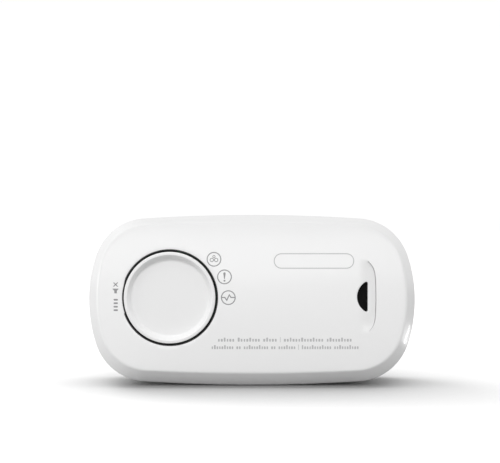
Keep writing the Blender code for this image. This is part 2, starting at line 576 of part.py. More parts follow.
# ---------------------------------------------------------------- sealed lithium cell and its leads
L = BAT_X1 - BAT_X0
turned("battery_cell", [(0.0, L + 0.8), (2.8, L + 0.8), (3.0, L + 0.6), (3.0, L), (7.6, L), (BAT_R, L - 0.9),
                        (BAT_R, L - 2.6), (BAT_R - 0.5, L - 3.0), (BAT_R - 0.5, L - 3.6), (BAT_R, L - 4.0),
                        (BAT_R, 0.5), (BAT_R - 0.5, 0.0), (0.0, 0.0)],
       28, mat=cell_wrap, loc=(BAT_X0, BAT_Y, BAT_Z), rot=ALONG_X)
turned("battery_insulator", [(3.35, 0.3), (7.4, 0.3), (7.4, 0.0), (3.35, 0.0)], 20, closed=True, mat=paper,
       loc=(BAT_X1 + 0.3, BAT_Y, BAT_Z), rot=ALONG_X)
box_between("battery_tab_positive", (BAT_X1 + 1.1, BAT_Y - 2.0, BAT_Z - 9.0), (BAT_X1 + 1.4, BAT_Y + 2.0, BAT_Z + 2.5), mat=nickel)
box_between("battery_tab_negative", (BAT_X0 - 0.6, BAT_Y - 2.0, BAT_Z - 9.0), (BAT_X0 - 0.3, BAT_Y + 2.0, BAT_Z + 2.5), mat=nickel)
wire("battery_wire_red", [(BAT_X1 + 2.2, BAT_Y, BAT_Z - 8.6), (BAT_X1 + 1.2, BAT_Y, BAT_Z - 11.2),
                          (45.0, BAT_Y - 1.0, BAT_Z - 12.6), (32.0, BAT_Y - 2.5, BAT_Z - 13.0), (20.0, BAT_Y - 4.5, BAT_Z - 13.5),
                          (14.0, -1.0, BAT_Z - 14.0), (10.0, -1.6, BAT_Z - 14.0), (9.0, 0.6, BAT_Z - 14.0)], 0.6, wire_red, 15)
wire("battery_wire_black", [(BAT_X0 - 1.2, BAT_Y, BAT_Z - 8.6), (BAT_X0 - 0.8, BAT_Y - 1.5, BAT_Z - 11.0),
                            (15.4, 1.0, BAT_Z - 18.0), (13.4, -1.4, BAT_Z - 18.4), (10.0, -1.6, BAT_Z - 18.0), (9.0, 0.6, BAT_Z - 18.0)],
     0.6, wire_black, 11)
pad = box_between("battery_foam_pad", (27.0, -4.2, 26.0), (47.0, -2.3, 36.0), mat=foam)


# ---------------------------------------------------------------- fasteners and label
def screw(name, x, z, head_y, shank_end, head_r, shank_r, front_facing, mat):
    """Pan-head screw along Y with a cross recess; the head's underside is at head_y."""
    length = abs(shank_end - head_y)
    head_h = head_r * 0.75
    prof = [(0.0, head_h), (head_r * 0.62, head_h), (head_r * 0.9, head_h * 0.72), (head_r, head_h * 0.3),
            (head_r, 0.0), (shank_r, 0.0), (shank_r, -length + 0.8), (shank_r * 0.45, -length), (0.0, -length)]
    rot = FACE_FRONT if front_facing else (-pi / 2, 0, 0)
    s = turned(name, prof, 12, mat=mat, loc=(x, head_y, z), rot=rot)
    out = -1 if front_facing else 1
    for k, (w, h) in enumerate(((head_r * 1.1, 0.5), (0.5, head_r * 1.1))):
        y0, y1 = sorted((head_y + out * head_h * 0.45, head_y + out * (head_h + 1.0)))
        cut(s, box_between(f"{name}_slot_{k}", (x - w / 2, y0, z - h / 2), (x + w / 2, y1, z + h / 2), guide=True))
    return s


for i, (x, z) in enumerate(CASE_SCREWS, 1):
    screw(f"case_screw_{i}", x, z, 12.7, -5.0, 2.7, 1.3, False, zinc_screw)
for i, (x, z) in enumerate(BOARD_SCREWS, 1):
    screw(f"board_screw_{i}", x, z, FY, 10.0, 2.3, 1.05, True, zinc_screw)

flat_outline("rating_label", rounded_rect(LABEL["x"] - LABEL["w"] / 2 + 0.6, LABEL["x"] + LABEL["w"] / 2 - 0.6,
                                          LABEL["z"] - LABEL["h"] / 2 + 0.6, LABEL["z"] + LABEL["h"] / 2 - 0.6, 1.5, 3),
             0.2, 17.8, mat=paper)

# round pieces are shaded smooth with their real corners kept sharp
for ob in parts.objects:
    if ob.type == "MESH" and len(ob.data.polygons):
        ob.data.shade_smooth()
        ob.data.set_sharp_from_angle(angle=radians(30))
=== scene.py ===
import json
import bpy
import bmesh
from math import sin, cos, pi, radians, atan2, sqrt, hypot, asin, tan
from mathutils import Vector, Matrix
from mathutils.geometry import delaunay_2d_cdt

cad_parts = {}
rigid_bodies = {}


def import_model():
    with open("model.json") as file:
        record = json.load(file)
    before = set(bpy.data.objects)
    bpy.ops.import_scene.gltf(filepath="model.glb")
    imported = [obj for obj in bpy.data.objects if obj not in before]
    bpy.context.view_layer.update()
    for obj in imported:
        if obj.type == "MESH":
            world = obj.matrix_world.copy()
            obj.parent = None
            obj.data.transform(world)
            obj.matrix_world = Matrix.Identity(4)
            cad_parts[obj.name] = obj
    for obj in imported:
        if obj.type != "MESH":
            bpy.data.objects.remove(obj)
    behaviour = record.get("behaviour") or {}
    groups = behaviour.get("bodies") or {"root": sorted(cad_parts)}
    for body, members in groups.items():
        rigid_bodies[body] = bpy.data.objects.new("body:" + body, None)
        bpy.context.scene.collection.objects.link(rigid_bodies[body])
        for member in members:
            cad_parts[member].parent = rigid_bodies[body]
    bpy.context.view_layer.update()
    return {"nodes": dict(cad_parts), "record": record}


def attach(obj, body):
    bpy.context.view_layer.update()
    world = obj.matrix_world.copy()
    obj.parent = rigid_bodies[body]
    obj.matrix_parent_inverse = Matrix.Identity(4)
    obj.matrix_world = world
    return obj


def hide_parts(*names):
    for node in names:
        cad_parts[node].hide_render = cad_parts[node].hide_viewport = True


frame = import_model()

NODES = frame["nodes"]
MM = 0.001

# ------------------------------------------------------------------ dimensions (mm), as in the CAD model
FRONT_Y, CREASE_Y, RIDGE_Y, PART_Y, REAR_Y, RIM_Y = -17.6, -17.0, -9.0, 4.0, 18.0, -18.0
WALL = 2.2
RIDGE = dict(a=60.0, b=31.35, zc=31.35, r_side=52.0, r_top=600.0, r_corner=20.0)
CREASE = dict(a=55.8, b=27.25, zc=32.75, r_side=54.0, r_top=765.0, r_corner=17.5)
PARTING = dict(a=59.2, b=30.75, zc=31.15, r_side=52.0, r_top=600.0, r_corner=19.6)
REAR_EDGE = dict(a=58.0, b=29.85, zc=31.0, r_side=52.0, r_top=600.0, r_corner=19.0)
REAR_FACE = dict(a=55.6, b=27.5, zc=31.0, r_side=52.0, r_top=600.0, r_corner=17.0)
BTN_X, BTN_Z, BTN_R, HOLE_R = -29.6, 32.7, 16.6, 17.4
HINGE_X, HINGE_Y, TONGUE_W = -50.5, -12.5, 12.4
SWITCH_X = -33.0
SOUNDER_X, SOUNDER_Z = 40.0, 33.1
ICON_R, ICON_ANGLES = 21.1, (40.9, 20.8, 0.1)
ICONS = [(BTN_X + ICON_R * cos(radians(t)), BTN_Z + ICON_R * sin(radians(t))) for t in ICON_ANGLES]
D_RIGHT, D_HALF_H, D_BULGE, D_Z = 41.74, 5.75, 3.9, 33.0
CASE_SCREWS = ((-45.0, 11.3), (45.0, 11.3), (-45.0, 51.3), (45.0, 51.3))
BOARD_SCREWS = ((-24.0, 11.6), (-24.0, 52.6))
KEYHOLES = ((-35.0, 47.0), (35.0, 47.0))
KEY_HEAD_R, KEY_SLOT_R, KEY_RISE = 4.0, 2.35, 5.5
SLIDER_X, SLIDER_Z, SLIDER_TRAVEL = -20.0, 20.0, 3.0
BAT_Y, BAT_Z, BAT_R = 6.5, 31.0, 8.5
LABEL = dict(x=0.0, z=37.0, w=44.0, h=22.0)
SND_X, SND_Z, SND_R = 40.0, 33.1, 14.0

pieces = bpy.data.collections.new("visual_pieces")
bpy.context.scene.collection.children.link(pieces)


# ------------------------------------------------------------------ camera
def lens_for(focal_px):
    return focal_px / 500.0 * 36.0


CAM_Z, CAM_X, CAM_DIST = 56.5, -0.7, 401.0
cam_data = bpy.data.cameras.new("camera")
cam_data.sensor_width = 36.0
cam_data.lens = lens_for(1117.0)
cam_data.clip_start = 0.01
cam_data.clip_end = 50.0
cam = bpy.data.objects.new("camera", cam_data)
bpy.context.scene.collection.objects.link(cam)
cam.location = (CAM_X * MM, (-18.0 - CAM_DIST) * MM, CAM_Z * MM)
cam.rotation_euler = (pi / 2, 0, 0)
bpy.context.scene.camera = cam


# ------------------------------------------------------------------ mesh helpers
class Skin:
    """Collects vertices (mm) and faces of one closed shell, then makes the object."""

    def __init__(self):
        self.v = []
        self.f = []

    def loop(self, pts):
        i = len(self.v)
        self.v.extend(pts)
        return list(range(i, i + len(pts)))

    def bridge(self, a, b):
        n = len(a)
        for i in range(n):
            j = (i + 1) % n
            self.f.append((a[i], b[i], b[j], a[j]))

    def rings(self, rings):
        loops = [self.loop(r) for r in rings]
        for a, b in zip(loops, loops[1:]):
            self.bridge(a, b)
        return loops

    def object(self, name, mat=None, body="housing", slot=None, sharp=None):
        bm = bmesh.new()
        vs = [bm.verts.new((x * MM, y * MM, z * MM)) for x, y, z in self.v]
        bm.verts.ensure_lookup_table()
        for f in self.f:
            if len(set(f)) > 2:
                try:
                    bm.faces.new([vs[i] for i in f])
                except ValueError:
                    pass
        bmesh.ops.remove_doubles(bm, verts=bm.verts, dist=1e-7)
        bmesh.ops.recalc_face_normals(bm, faces=bm.faces)
        me = bpy.data.meshes.new(name)
        bm.to_mesh(me)
        bm.free()
        return finish_mesh(name, me, mat, body, sharp)


def finish_mesh(name, me, mat=None, body="housing", sharp=None):
    me.shade_smooth()
    if sharp is not None:
        me.set_sharp_from_angle(angle=radians(sharp))
    ob = bpy.data.objects.new(name, me)
    pieces.objects.link(ob)
    if mat is not None:
        me.materials.append(mat)
    if body:
        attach(ob, body)
    return ob


def bowed_outline(a, b, zc, r_side, r_top, r_corner, n_side=16, n_corner=30, n_top=34):
    """Oblong with slightly bowed sides: three tangent arcs in each quarter, (x, z) in mm."""
    c1, q1 = (a - r_side, 0.0), r_side - r_corner
    c2, q2 = (0.0, b - r_top), r_top - r_corner
    dx, dz = c2[0] - c1[0], c2[1] - c1[1]
    d = hypot(dx, dz)
    h = (q1 * q1 - q2 * q2 + d * d) / (2 * d)
    k = sqrt(q1 * q1 - h * h)
    mx, mz = c1[0] + dx * h / d, c1[1] + dz * h / d
    px, pz = max(((mx - dz / d * s, mz + dx / d * s) for s in (k, -k)), key=lambda p: p[0] + p[1])
    ts = atan2(pz - c1[1], px - c1[0])
    tt = atan2(pz - c2[1], px - c2[0])
    quarter = [(c1[0] + r_side * cos(ts * i / n_side), r_side * sin(ts * i / n_side)) for i in range(n_side)]
    quarter += [(px + r_corner * cos(ts + (tt - ts) * i / n_corner),
                 pz + r_corner * sin(ts + (tt - ts) * i / n_corner)) for i in range(n_corner)]
    quarter += [(r_top * cos(tt + (pi / 2 - tt) * i / n_top), c2[1] + r_top * sin(tt + (pi / 2 - tt) * i / n_top))
                for i in range(n_top + 1)]
    loop = quarter + [(-x, z) for x, z in quarter[-2::-1]]
    loop += [(x, -z) for x, z in loop[-2:0:-1]]
    return [(x, z + zc) for x, z in loop]


def inset(d, by):
    """The same outline, by mm smaller all round."""
    return dict(a=d["a"] - by, b=d["b"] - by, zc=d["zc"], r_side=d["r_side"] - by, r_top=d["r_top"] - by,
                r_corner=max(d["r_corner"] - by, 1.0))


def at_y(outline, y):
    return [(x, y, z) for x, z in outline]


def fillet(rings_a, rings_b, rings_c, ta, tc, n):
    """Rings that round the corner at rings_b, starting ta before it and ending tc after it."""
    out = [[] for _ in range(n + 1)]
    for A, B, C in zip(rings_a, rings_b, rings_c):
        A, B, C = Vector(A), Vector(B), Vector(C)
        P = B + (A - B).normalized() * ta
        Q = B + (C - B).normalized() * tc
        c = -(A - B).normalized().dot((C - B).normalized())
        w = sqrt(max((1 + c) / 2, 0.0))          # cosine of half the turn
        for k in range(n + 1):
            t = k / n
            b0, b1, b2 = (1 - t) ** 2, 2 * t * (1 - t) * w, t * t
            p = (P * b0 + B * b1 + Q * b2) / (b0 + b1 + b2)
            out[k].append(tuple(p))
    return out


def smooth01(t):
    t = min(max(t, 0.0), 1.0)
    return t * t * (3 - 2 * t)


def inside(poly, x, z):
    n, c = len(poly), False
    j = n - 1
    for i in range(n):
        xi, zi = poly[i]
        xj, zj = poly[j]
        if (zi > z) != (zj > z) and x < (xj - xi) * (z - zi) / (zj - zi) + xi:
            c = not c
        j = i
    return c


def offset_loop(pts, d):
    """Closed loop moved d mm to its left side (outwards for a clockwise loop)."""
    n = len(pts)
    out = []
    for i in range(n):
        x0, z0 = pts[i - 1]
        x1, z1 = pts[i]
        x2, z2 = pts[(i + 1) % n]
        n1 = Vector((-(z1 - z0), x1 - x0)).normalized()
        n2 = Vector((-(z2 - z1), x2 - x1)).normalized()
        m = (n1 + n2)
        m = m / max(m.length, 1e-9)
        c = max(m.dot(n1), 0.4)
        out.append((x1 + m.x * d / c, z1 + m.y * d / c))
    return out


def area(pts):
    return 0.5 * sum(x0 * z1 - x1 * z0 for (x0, z0), (x1, z1) in zip(pts, pts[1:] + pts[:1]))


def grown(pts, d):
    """Closed loop grown by d mm, whichever way it runs."""
    return offset_loop(pts, -d if area(pts) > 0 else d)


def sheet_between(outer, holes, lines, step, keep_clear=0.55, dense=None):
    """Triangulated sheet in (x, z): outer loop, hole loops, extra constraint lines, filled with a grid.
    Returns coordinates, triangles and the vertex numbers of the outer loop and of each hole."""
    co, edges, tags = [], [], []

    def add(loop, closed=True):
        i0 = len(co)
        co.extend(loop)
        n = len(loop)
        for i in range(n if closed else n - 1):
            edges.append((i0 + i, i0 + (i + 1) % n))
        return list(range(i0, i0 + n))

    outer_ids = add(outer)
    hole_ids = [add(h) for h in holes]
    for ln in lines:
        add(ln, closed=False)
    fixed = list(co)
    xs, zs = [p[0] for p in outer], [p[1] for p in outer]
    # buckets, so that grid points keep clear of the constraint points
    cell = 1.0
    buckets = {}
    for p in fixed:
        buckets.setdefault((int(p[0] // cell), int(p[1] // cell)), []).append(p)

    def clear(x, z, r):
        for i in range(-1, 2):
            for j in range(-1, 2):
                for p in buckets.get((int(x // cell) + i, int(z // cell) + j), ()):
                    if (p[0] - x) ** 2 + (p[1] - z) ** 2 < r * r:
                        return False
        return True

    nx = int((max(xs) - min(xs)) / step) + 1
    nz = int((max(zs) - min(zs)) / step) + 1
    for j in range(nz + 1):
        for i in range(nx + 1):
            x = min(xs) + (i + 0.5 * (j % 2)) * step
            z = min(zs) + j * step
            if inside(outer, x, z) and not any(inside(h, x, z) for h in holes) and clear(x, z, keep_clear):
                co.append((x, z))
    if dense:
        (dx0, dz0, dx1, dz1), ds = dense
        x = dx0
        while x <= dx1:
            z = dz0
            while z <= dz1:
                if inside(outer, x, z) and not any(inside(h, x, z) for h in holes) and clear(x, z, ds * 0.6):
                    co.append((x, z))
                z += ds
            x += ds
    vout, _, fout, vorig, _, _ = delaunay_2d_cdt([Vector(c) for c in co], edges, [], 0, 1e-6)
    back = {}
    for new, origs in enumerate(vorig):
        for o in origs:
            back[o] = new
    tris = []
    for f in fout:
        cx = sum(vout[i].x for i in f) / len(f)
        cz = sum(vout[i].y for i in f) / len(f)
        if inside(outer, cx, cz) and not any(inside(h, cx, cz) for h in holes):
            tris.append(tuple(f))
    return ([(v.x, v.y) for v in vout], tris, [back[i] for i in outer_ids],
            [[back[i] for i in h] for h in hole_ids])


def circle(cx, cz, r, n, start=0.0):
    return [(cx + r * cos(start + 2 * pi * i / n), cz + r * sin(start + 2 * pi * i / n)) for i in range(n)]


def aperture(grow, n=160):
    """Outline of the button's aperture; it steps in a little beside the hinge."""
    out = []
    for i in range(n):
        a = 2 * pi * i / n
        near = smooth01((a - radians(156)) / radians(10)) * smooth01((radians(200.5) - a) / radians(2.5))
        r = HOLE_R + grow - 0.30 * near
        out.append((BTN_X + r * cos(a), BTN_Z + r * sin(a)))
    return out


def add_sheet(skin, coords, tris, height):
    i0 = len(skin.v)
    skin.v.extend((x, height(x, z), z) for x, z in coords)
    skin.f.extend(tuple(i0 + i for i in t) for t in tris)
    return i0


# ------------------------------------------------------------------ front face surface
def crown_y(x, z):
    """Shallow crown of the front face."""
    p = 3.4
    k = ((abs(x) / CREASE["a"]) ** p + (abs(z - CREASE["zc"]) / CREASE["b"]) ** p) ** (1 / p)
    k2 = 0.5 * (k * k + 0.5 * ((x / CREASE["a"]) ** 2 + ((z - CREASE["zc"]) / CREASE["b"]) ** 2))
    return FRONT_Y + (CREASE_Y - FRONT_Y) * min(k2, 1.1)


SC_Z0, SC_Z1, SC_X = 20.0, 46.1, 44.75


def step_curve(s):
    """The scallop's step line right of the opening, s from -1 (low) to 1 (high)."""
    zc, half = (SC_Z0 + SC_Z1) / 2, (SC_Z1 - SC_Z0) / 2
    return (SC_X - 2.9 * abs(s) ** 6.5 - 0.55 * s * s, zc + half * s)


STEP = [step_curve(-1 + 2 * i / 160) for i in range(161)]


def step_distance(x, z):
    """Signed distance to the step line: negative on the scallop's side."""
    best, side = 1e9, 1
    for (x0, z0), (x1, z1) in zip(STEP, STEP[1:]):
        dx, dz = x1 - x0, z1 - z0
        t = min(max(((x - x0) * dx + (z - z0) * dz) / (dx * dx + dz * dz), 0.0), 1.0)
        qx, qz = x0 + dx * t, z0 + dz * t
        d = hypot(x - qx, z - qz)
        if d < best:
            best = d
            side = 1 if (x - qx) * dz - (z - qz) * dx > 0 else -1
    return best * side


SC_DEPTH, SC_LEFT = 0.85, 37.6
GROOVE = 0.19                       # width of the shadow groove along the step, at its middle


def groove_width(z):
    """The groove is widest near its upper end and closes towards the lower one."""
    s = (z - SC_Z0) / (SC_Z1 - SC_Z0)
    return GROOVE * (0.35 + 0.65 * smooth01(s / 0.30)) * (1.0 + 0.25 * smooth01((s - 0.75) / 0.2))


def scallop(x, z):
    if not (SC_LEFT < x < 46.5 and SC_Z0 - 1.5 < z < SC_Z1 + 1.5):
        return 0.0
    d = step_distance(x, z)
    if d > 0.0:
        return 0.0
    ramp = max((x - SC_LEFT) / (SC_X - SC_LEFT), 0.0)
    ramp = ramp * ramp * (1.45 - 0.45 * ramp)
    ends = smooth01((SC_Z1 + 0.6 - z) / 3.2) * smooth01((z - SC_Z0 + 0.2) / 4.5)
    floor_d = SC_DEPTH * ramp * ends
    g = groove_width(z)
    deep = 0.75 * smooth01((SC_Z1 - 0.05 - z) / 0.7) * smooth01((z - SC_Z0 - 0.05) / 2.2)
    if d > -0.03:
        return (floor_d + deep) * (-d / 0.03)
    if d < -g:
        return floor_d
    if d < -g + 0.04:
        return floor_d + deep * (d + g) / 0.04
    return floor_d + deep


def face_y(x, z):
    return crown_y(x, z) + scallop(x, z)


def d_outline(xr, half_h, bulge, zc, r_tip=0.62, n=30):
    """D-shaped opening: straight right side, bowed left side, rounded tips, clockwise from the top."""
    rad = (half_h ** 2 + bulge ** 2) / (2 * bulge)
    cx = xr - bulge + rad
    # centre of the top tip's arc: tangent to the straight side and to the bowed side from inside
    tx = xr - r_tip
    tz = sqrt((rad - r_tip) ** 2 - (cx - tx) ** 2)
    a0 = atan2(tz, tx - cx)                   # direction in which the two arcs touch
    top = [(tx + r_tip * cos(a0 * k / 8), zc + tz + r_tip * sin(a0 * k / 8)) for k in range(9)]
    arc = []
    for i in range(1, n):
        t = a0 + (2 * pi - 2 * a0) * i / n
        arc.append((cx + rad * cos(t), zc + rad * sin(t)))
    low = [(x, 2 * zc - z) for x, z in top[::-1]]
    right = [(xr, zc + tz * s) for s in (-0.75, -0.5, -0.25, 0.0, 0.25, 0.5, 0.75)]
    return top + arc + low + right


# ------------------------------------------------------------------ materials
def _mat(name):
    m = bpy.data.materials.new(name)
    m.use_nodes = True
    nt = m.node_tree
    return m, nt, nt.nodes["Principled BSDF"]


def _coords(nt, scale=(1, 1, 1), rot=(0, 0, 0)):
    tc = nt.nodes.new("ShaderNodeTexCoord")
    mp = nt.nodes.new("ShaderNodeMapping")
    mp.inputs["Scale"].default_value = scale
    mp.inputs["Rotation"].default_value = rot
    nt.links.new(tc.outputs["Object"], mp.inputs["Vector"])
    return mp.outputs["Vector"]


def _noise(nt, vec, scale, detail=3.0, rough=0.5):
    n = nt.nodes.new("ShaderNodeTexNoise")
    n.inputs["Scale"].default_value = scale
    n.inputs["Detail"].default_value = detail
    n.inputs["Roughness"].default_value = rough
    nt.links.new(vec, n.inputs["Vector"])
    return n.outputs["Fac"]


def _ramp(nt, fac, lo, hi, c0, c1):
    r = nt.nodes.new("ShaderNodeMapRange")
    r.inputs["From Min"].default_value = lo
    r.inputs["From Max"].default_value = hi
    r.inputs["To Min"].default_value = c0
    r.inputs["To Max"].default_value = c1
    nt.links.new(fac, r.inputs["Value"])
    return r.outputs["Result"]


def _mix(nt, fac, a, b):
    m = nt.nodes.new("ShaderNodeMix")
    m.data_type = "RGBA"
    m.inputs["A"].default_value = (*a, 1.0)
    m.inputs["B"].default_value = (*b, 1.0)
    nt.links.new(fac, m.inputs["Factor"])
    return m.outputs["Result"]


def _bump(nt, bsdf, height, strength, distance):
    b = nt.nodes.new("ShaderNodeBump")
    b.inputs["Strength"].default_value = strength
    b.inputs["Distance"].default_value = distance
    nt.links.new(height, b.inputs["Height"])
    nt.links.new(b.outputs["Normal"], bsdf.inputs["Normal"])
    return b


def moulded(name, color, rough, spread=0.04, grain=2600.0, bump=0.18, depth=0.00004, tint=0.012, metal=0.0, coat=0.0):
    """Injection-moulded plastic: fine spark-eroded grain, faint flow clouds in colour and gloss."""
    m, nt, b = _mat(name)
    vec = _coords(nt)
    fine = _noise(nt, vec, grain, 2.0, 0.55)
    cloud = _noise(nt, vec, 38.0, 2.0, 0.5)
    lo = tuple(max(c - tint, 0) for c in color)
    hi = tuple(min(c + tint, 1) for c in color)
    nt.links.new(_mix(nt, _ramp(nt, cloud, 0.3, 0.7, 0, 1), lo, hi), b.inputs["Base Color"])
    nt.links.new(_ramp(nt, cloud, 0.3, 0.7, rough - spread, rough + spread), b.inputs["Roughness"])
    b.inputs["Metallic"].default_value = metal
    if coat:
        b.inputs["Coat Weight"].default_value = coat
        b.inputs["Coat Roughness"].default_value = 0.08
    _bump(nt, b, fine, bump, depth)
    return m


def brushed(name, color, rough, stretch=(1, 1, 40), scale=900.0, spread=0.08):
    """Drawn or rolled metal: fine streaks along one direction with a few darker marks."""
    m, nt, b = _mat(name)
    streak = _noise(nt, _coords(nt, stretch), scale, 3.0, 0.6)
    spots = _noise(nt, _coords(nt), 260.0, 3.0, 0.6)
    nt.links.new(_mix(nt, _ramp(nt, spots, 0.35, 0.75, 0, 1), color, tuple(c * 0.82 for c in color)), b.inputs["Base Color"])
    nt.links.new(_ramp(nt, streak, 0.3, 0.7, rough - spread, rough + spread), b.inputs["Roughness"])
    b.inputs["Metallic"].default_value = 1.0
    _bump(nt, b, streak, 0.12, 0.00003)
    return m


M = {}
M["white_case"] = moulded("white_case_plastic", (0.868, 0.868, 0.868), 0.30, spread=0.02, grain=3200.0, bump=0.10, tint=0.004, coat=0.15)
M["white_rear"] = moulded("white_rear_plastic", (0.852, 0.852, 0.849), 0.42, spread=0.03, grain=2600.0, bump=0.30, tint=0.006)
M["white_button"] = moulded("white_button_plastic", (0.80, 0.80, 0.80), 0.36, spread=0.02, grain=3400.0, bump=0.12, tint=0.004)
M["ink_grey"] = moulded("printed_grey_ink", (0.30, 0.30, 0.305), 0.5, grain=4000.0, bump=0.05, tint=0.02)
M["ink_light"] = moulded("printed_light_ink", (0.50, 0.50, 0.505), 0.5, grain=4000.0, bump=0.05, tint=0.02)
M["black_plastic"] = moulded("black_plastic_grain", (0.012, 0.012, 0.0125), 0.5, bump=0.3, tint=0.004)
M["grey_plastic"] = moulded("grey_plastic_grain", (0.20, 0.20, 0.205), 0.5, bump=0.3, tint=0.015)
M["chip_black"] = moulded("moulded_epoxy", (0.02, 0.02, 0.02), 0.55, grain=5200.0, bump=0.35, tint=0.006)
M["rubber"] = moulded("nitrile_rubber", (0.022, 0.022, 0.022), 0.75, bump=0.4, tint=0.006)
M["ferrite"] = moulded("sintered_ferrite", (0.055, 0.055, 0.06), 0.6, grain=4200.0, bump=0.5, tint=0.02)
M["ceramic"] = moulded("fired_ceramic", (0.78, 0.76, 0.70), 0.45, grain=3000.0, bump=0.2, tint=0.03)
M["can_sleeve"] = moulded("capacitor_sleeve", (0.02, 0.045, 0.15), 0.3, bump=0.1, tint=0.01)
M["led_red"] = moulded("tinted_epoxy_red", (0.62, 0.035, 0.025), 0.25, bump=0.05, tint=0.02)
M["led_amber"] = moulded("tinted_epoxy_amber", (0.75, 0.36, 0.03), 0.25, bump=0.05, tint=0.02)
M["led_green"] = moulded("tinted_epoxy_green", (0.05, 0.5, 0.10), 0.25, bump=0.05, tint=0.02)
M["slider_red"] = moulded("moulded_red", (0.55, 0.035, 0.03), 0.4, bump=0.25, tint=0.02)
M["foam"] = moulded("closed_cell_foam", (0.045, 0.045, 0.048), 0.95, grain=1400.0, bump=0.9, depth=0.0002, tint=0.02)
M["label_paper"] = moulded("label_film", (0.74, 0.74, 0.735), 0.55, grain=5000.0, bump=0.15, tint=0.012)
M["wire_red"] = moulded("wire_red_pvc", (0.50, 0.025, 0.025), 0.42, bump=0.1, tint=0.03)
M["wire_black"] = moulded("wire_black_pvc", (0.015, 0.015, 0.015), 0.42, bump=0.1, tint=0.006)
M["cell_wrap"] = moulded("cell_shrink_wrap", (0.08, 0.19, 0.38), 0.3, bump=0.12, tint=0.02)
M["steel"] = brushed("drawn_steel", (0.60, 0.60, 0.61), 0.28)
M["zinc_screw"] = brushed("zinc_plate", (0.66, 0.67, 0.68), 0.26, stretch=(1, 12, 1))
M["brass"] = brushed("rolled_brass", (0.76, 0.55, 0.25), 0.3, stretch=(30, 1, 1))
M["nickel"] = brushed("nickel_strip", (0.70, 0.68, 0.64), 0.25)
M["copper"] = brushed("enamelled_copper", (0.72, 0.28, 0.11), 0.3, stretch=(1, 30, 1))


def _clear():
    m, nt, b = _mat("clear_moulded_acrylic")
    b.inputs["Transmission Weight"].default_value = 1.0
    b.inputs["IOR"].default_value = 1.49
    vec = _coords(nt)
    nt.links.new(_ramp(nt, _noise(nt, vec, 300.0), 0.3, 0.7, 0.04, 0.12), b.inputs["Roughness"])
    nt.links.new(_mix(nt, _noise(nt, vec, 60.0), (0.93, 0.95, 0.96), (0.88, 0.92, 0.95)), b.inputs["Base Color"])
    return m


def _board():
    """Green solder mask with a faint pattern of tracks under it."""
    m, nt, b = _mat("solder_mask_green")
    vec = _coords(nt, (1, 1, 1))
    v = nt.nodes.new("ShaderNodeTexVoronoi")
    v.distance = "MANHATTAN"
    v.feature = "F1"
    v.inputs["Scale"].default_value = 420.0
    nt.links.new(vec, v.inputs["Vector"])
    track = _ramp(nt, v.outputs["Distance"], 0.42, 0.5, 0, 1)
    nt.links.new(_mix(nt, track, (0.012, 0.14, 0.05), (0.03, 0.22, 0.085)), b.inputs["Base Color"])
    nt.links.new(_ramp(nt, _noise(nt, vec, 200.0), 0.3, 0.7, 0.25, 0.4), b.inputs["Roughness"])
    _bump(nt, b, track, 0.25, 0.00004)
    return m


def _mesh_black():
    """Woven acoustic mesh: crossing threads."""
    m, nt, b = _mat("woven_acoustic_mesh")
    vec = _coords(nt)
    waves = []
    for d in ("X", "Z"):
        w = nt.nodes.new("ShaderNodeTexWave")
        w.bands_direction = d
        w.inputs["Scale"].default_value = 900.0
        nt.links.new(vec, w.inputs["Vector"])
        waves.append(w.outputs["Fac"])
    mx = nt.nodes.new("ShaderNodeMath")
    mx.operation = "MAXIMUM"
    nt.links.new(waves[0], mx.inputs[0])
    nt.links.new(waves[1], mx.inputs[1])
    nt.links.new(_mix(nt, mx.outputs[0], (0.001, 0.001, 0.001), (0.006, 0.006, 0.006)), b.inputs["Base Color"])
    nt.links.new(_ramp(nt, mx.outputs[0], 0, 1, 0.95, 0.8), b.inputs["Roughness"])
    b.inputs["Specular IOR Level"].default_value = 0.2
    _bump(nt, b, mx.outputs[0], 0.8, 0.0001)
    return m


M["clear_acrylic"] = _clear()
M["board_green"] = _board()
M["black_mesh"] = _mesh_black()

# every carried-over CAD node takes the finish of its slot
SLOT_OF = {s["node"]: s["material_slot"] for s in frame["record"]["subparts"]}
for node, ob in NODES.items():
    mat = M[SLOT_OF[node]]
    if not ob.material_slots:
        ob.data.materials.append(mat)
    for s in ob.material_slots:
        s.material = mat

# ------------------------------------------------------------------ front cover
RING_N = 16 * 4 + 30 * 4 + 34 * 4


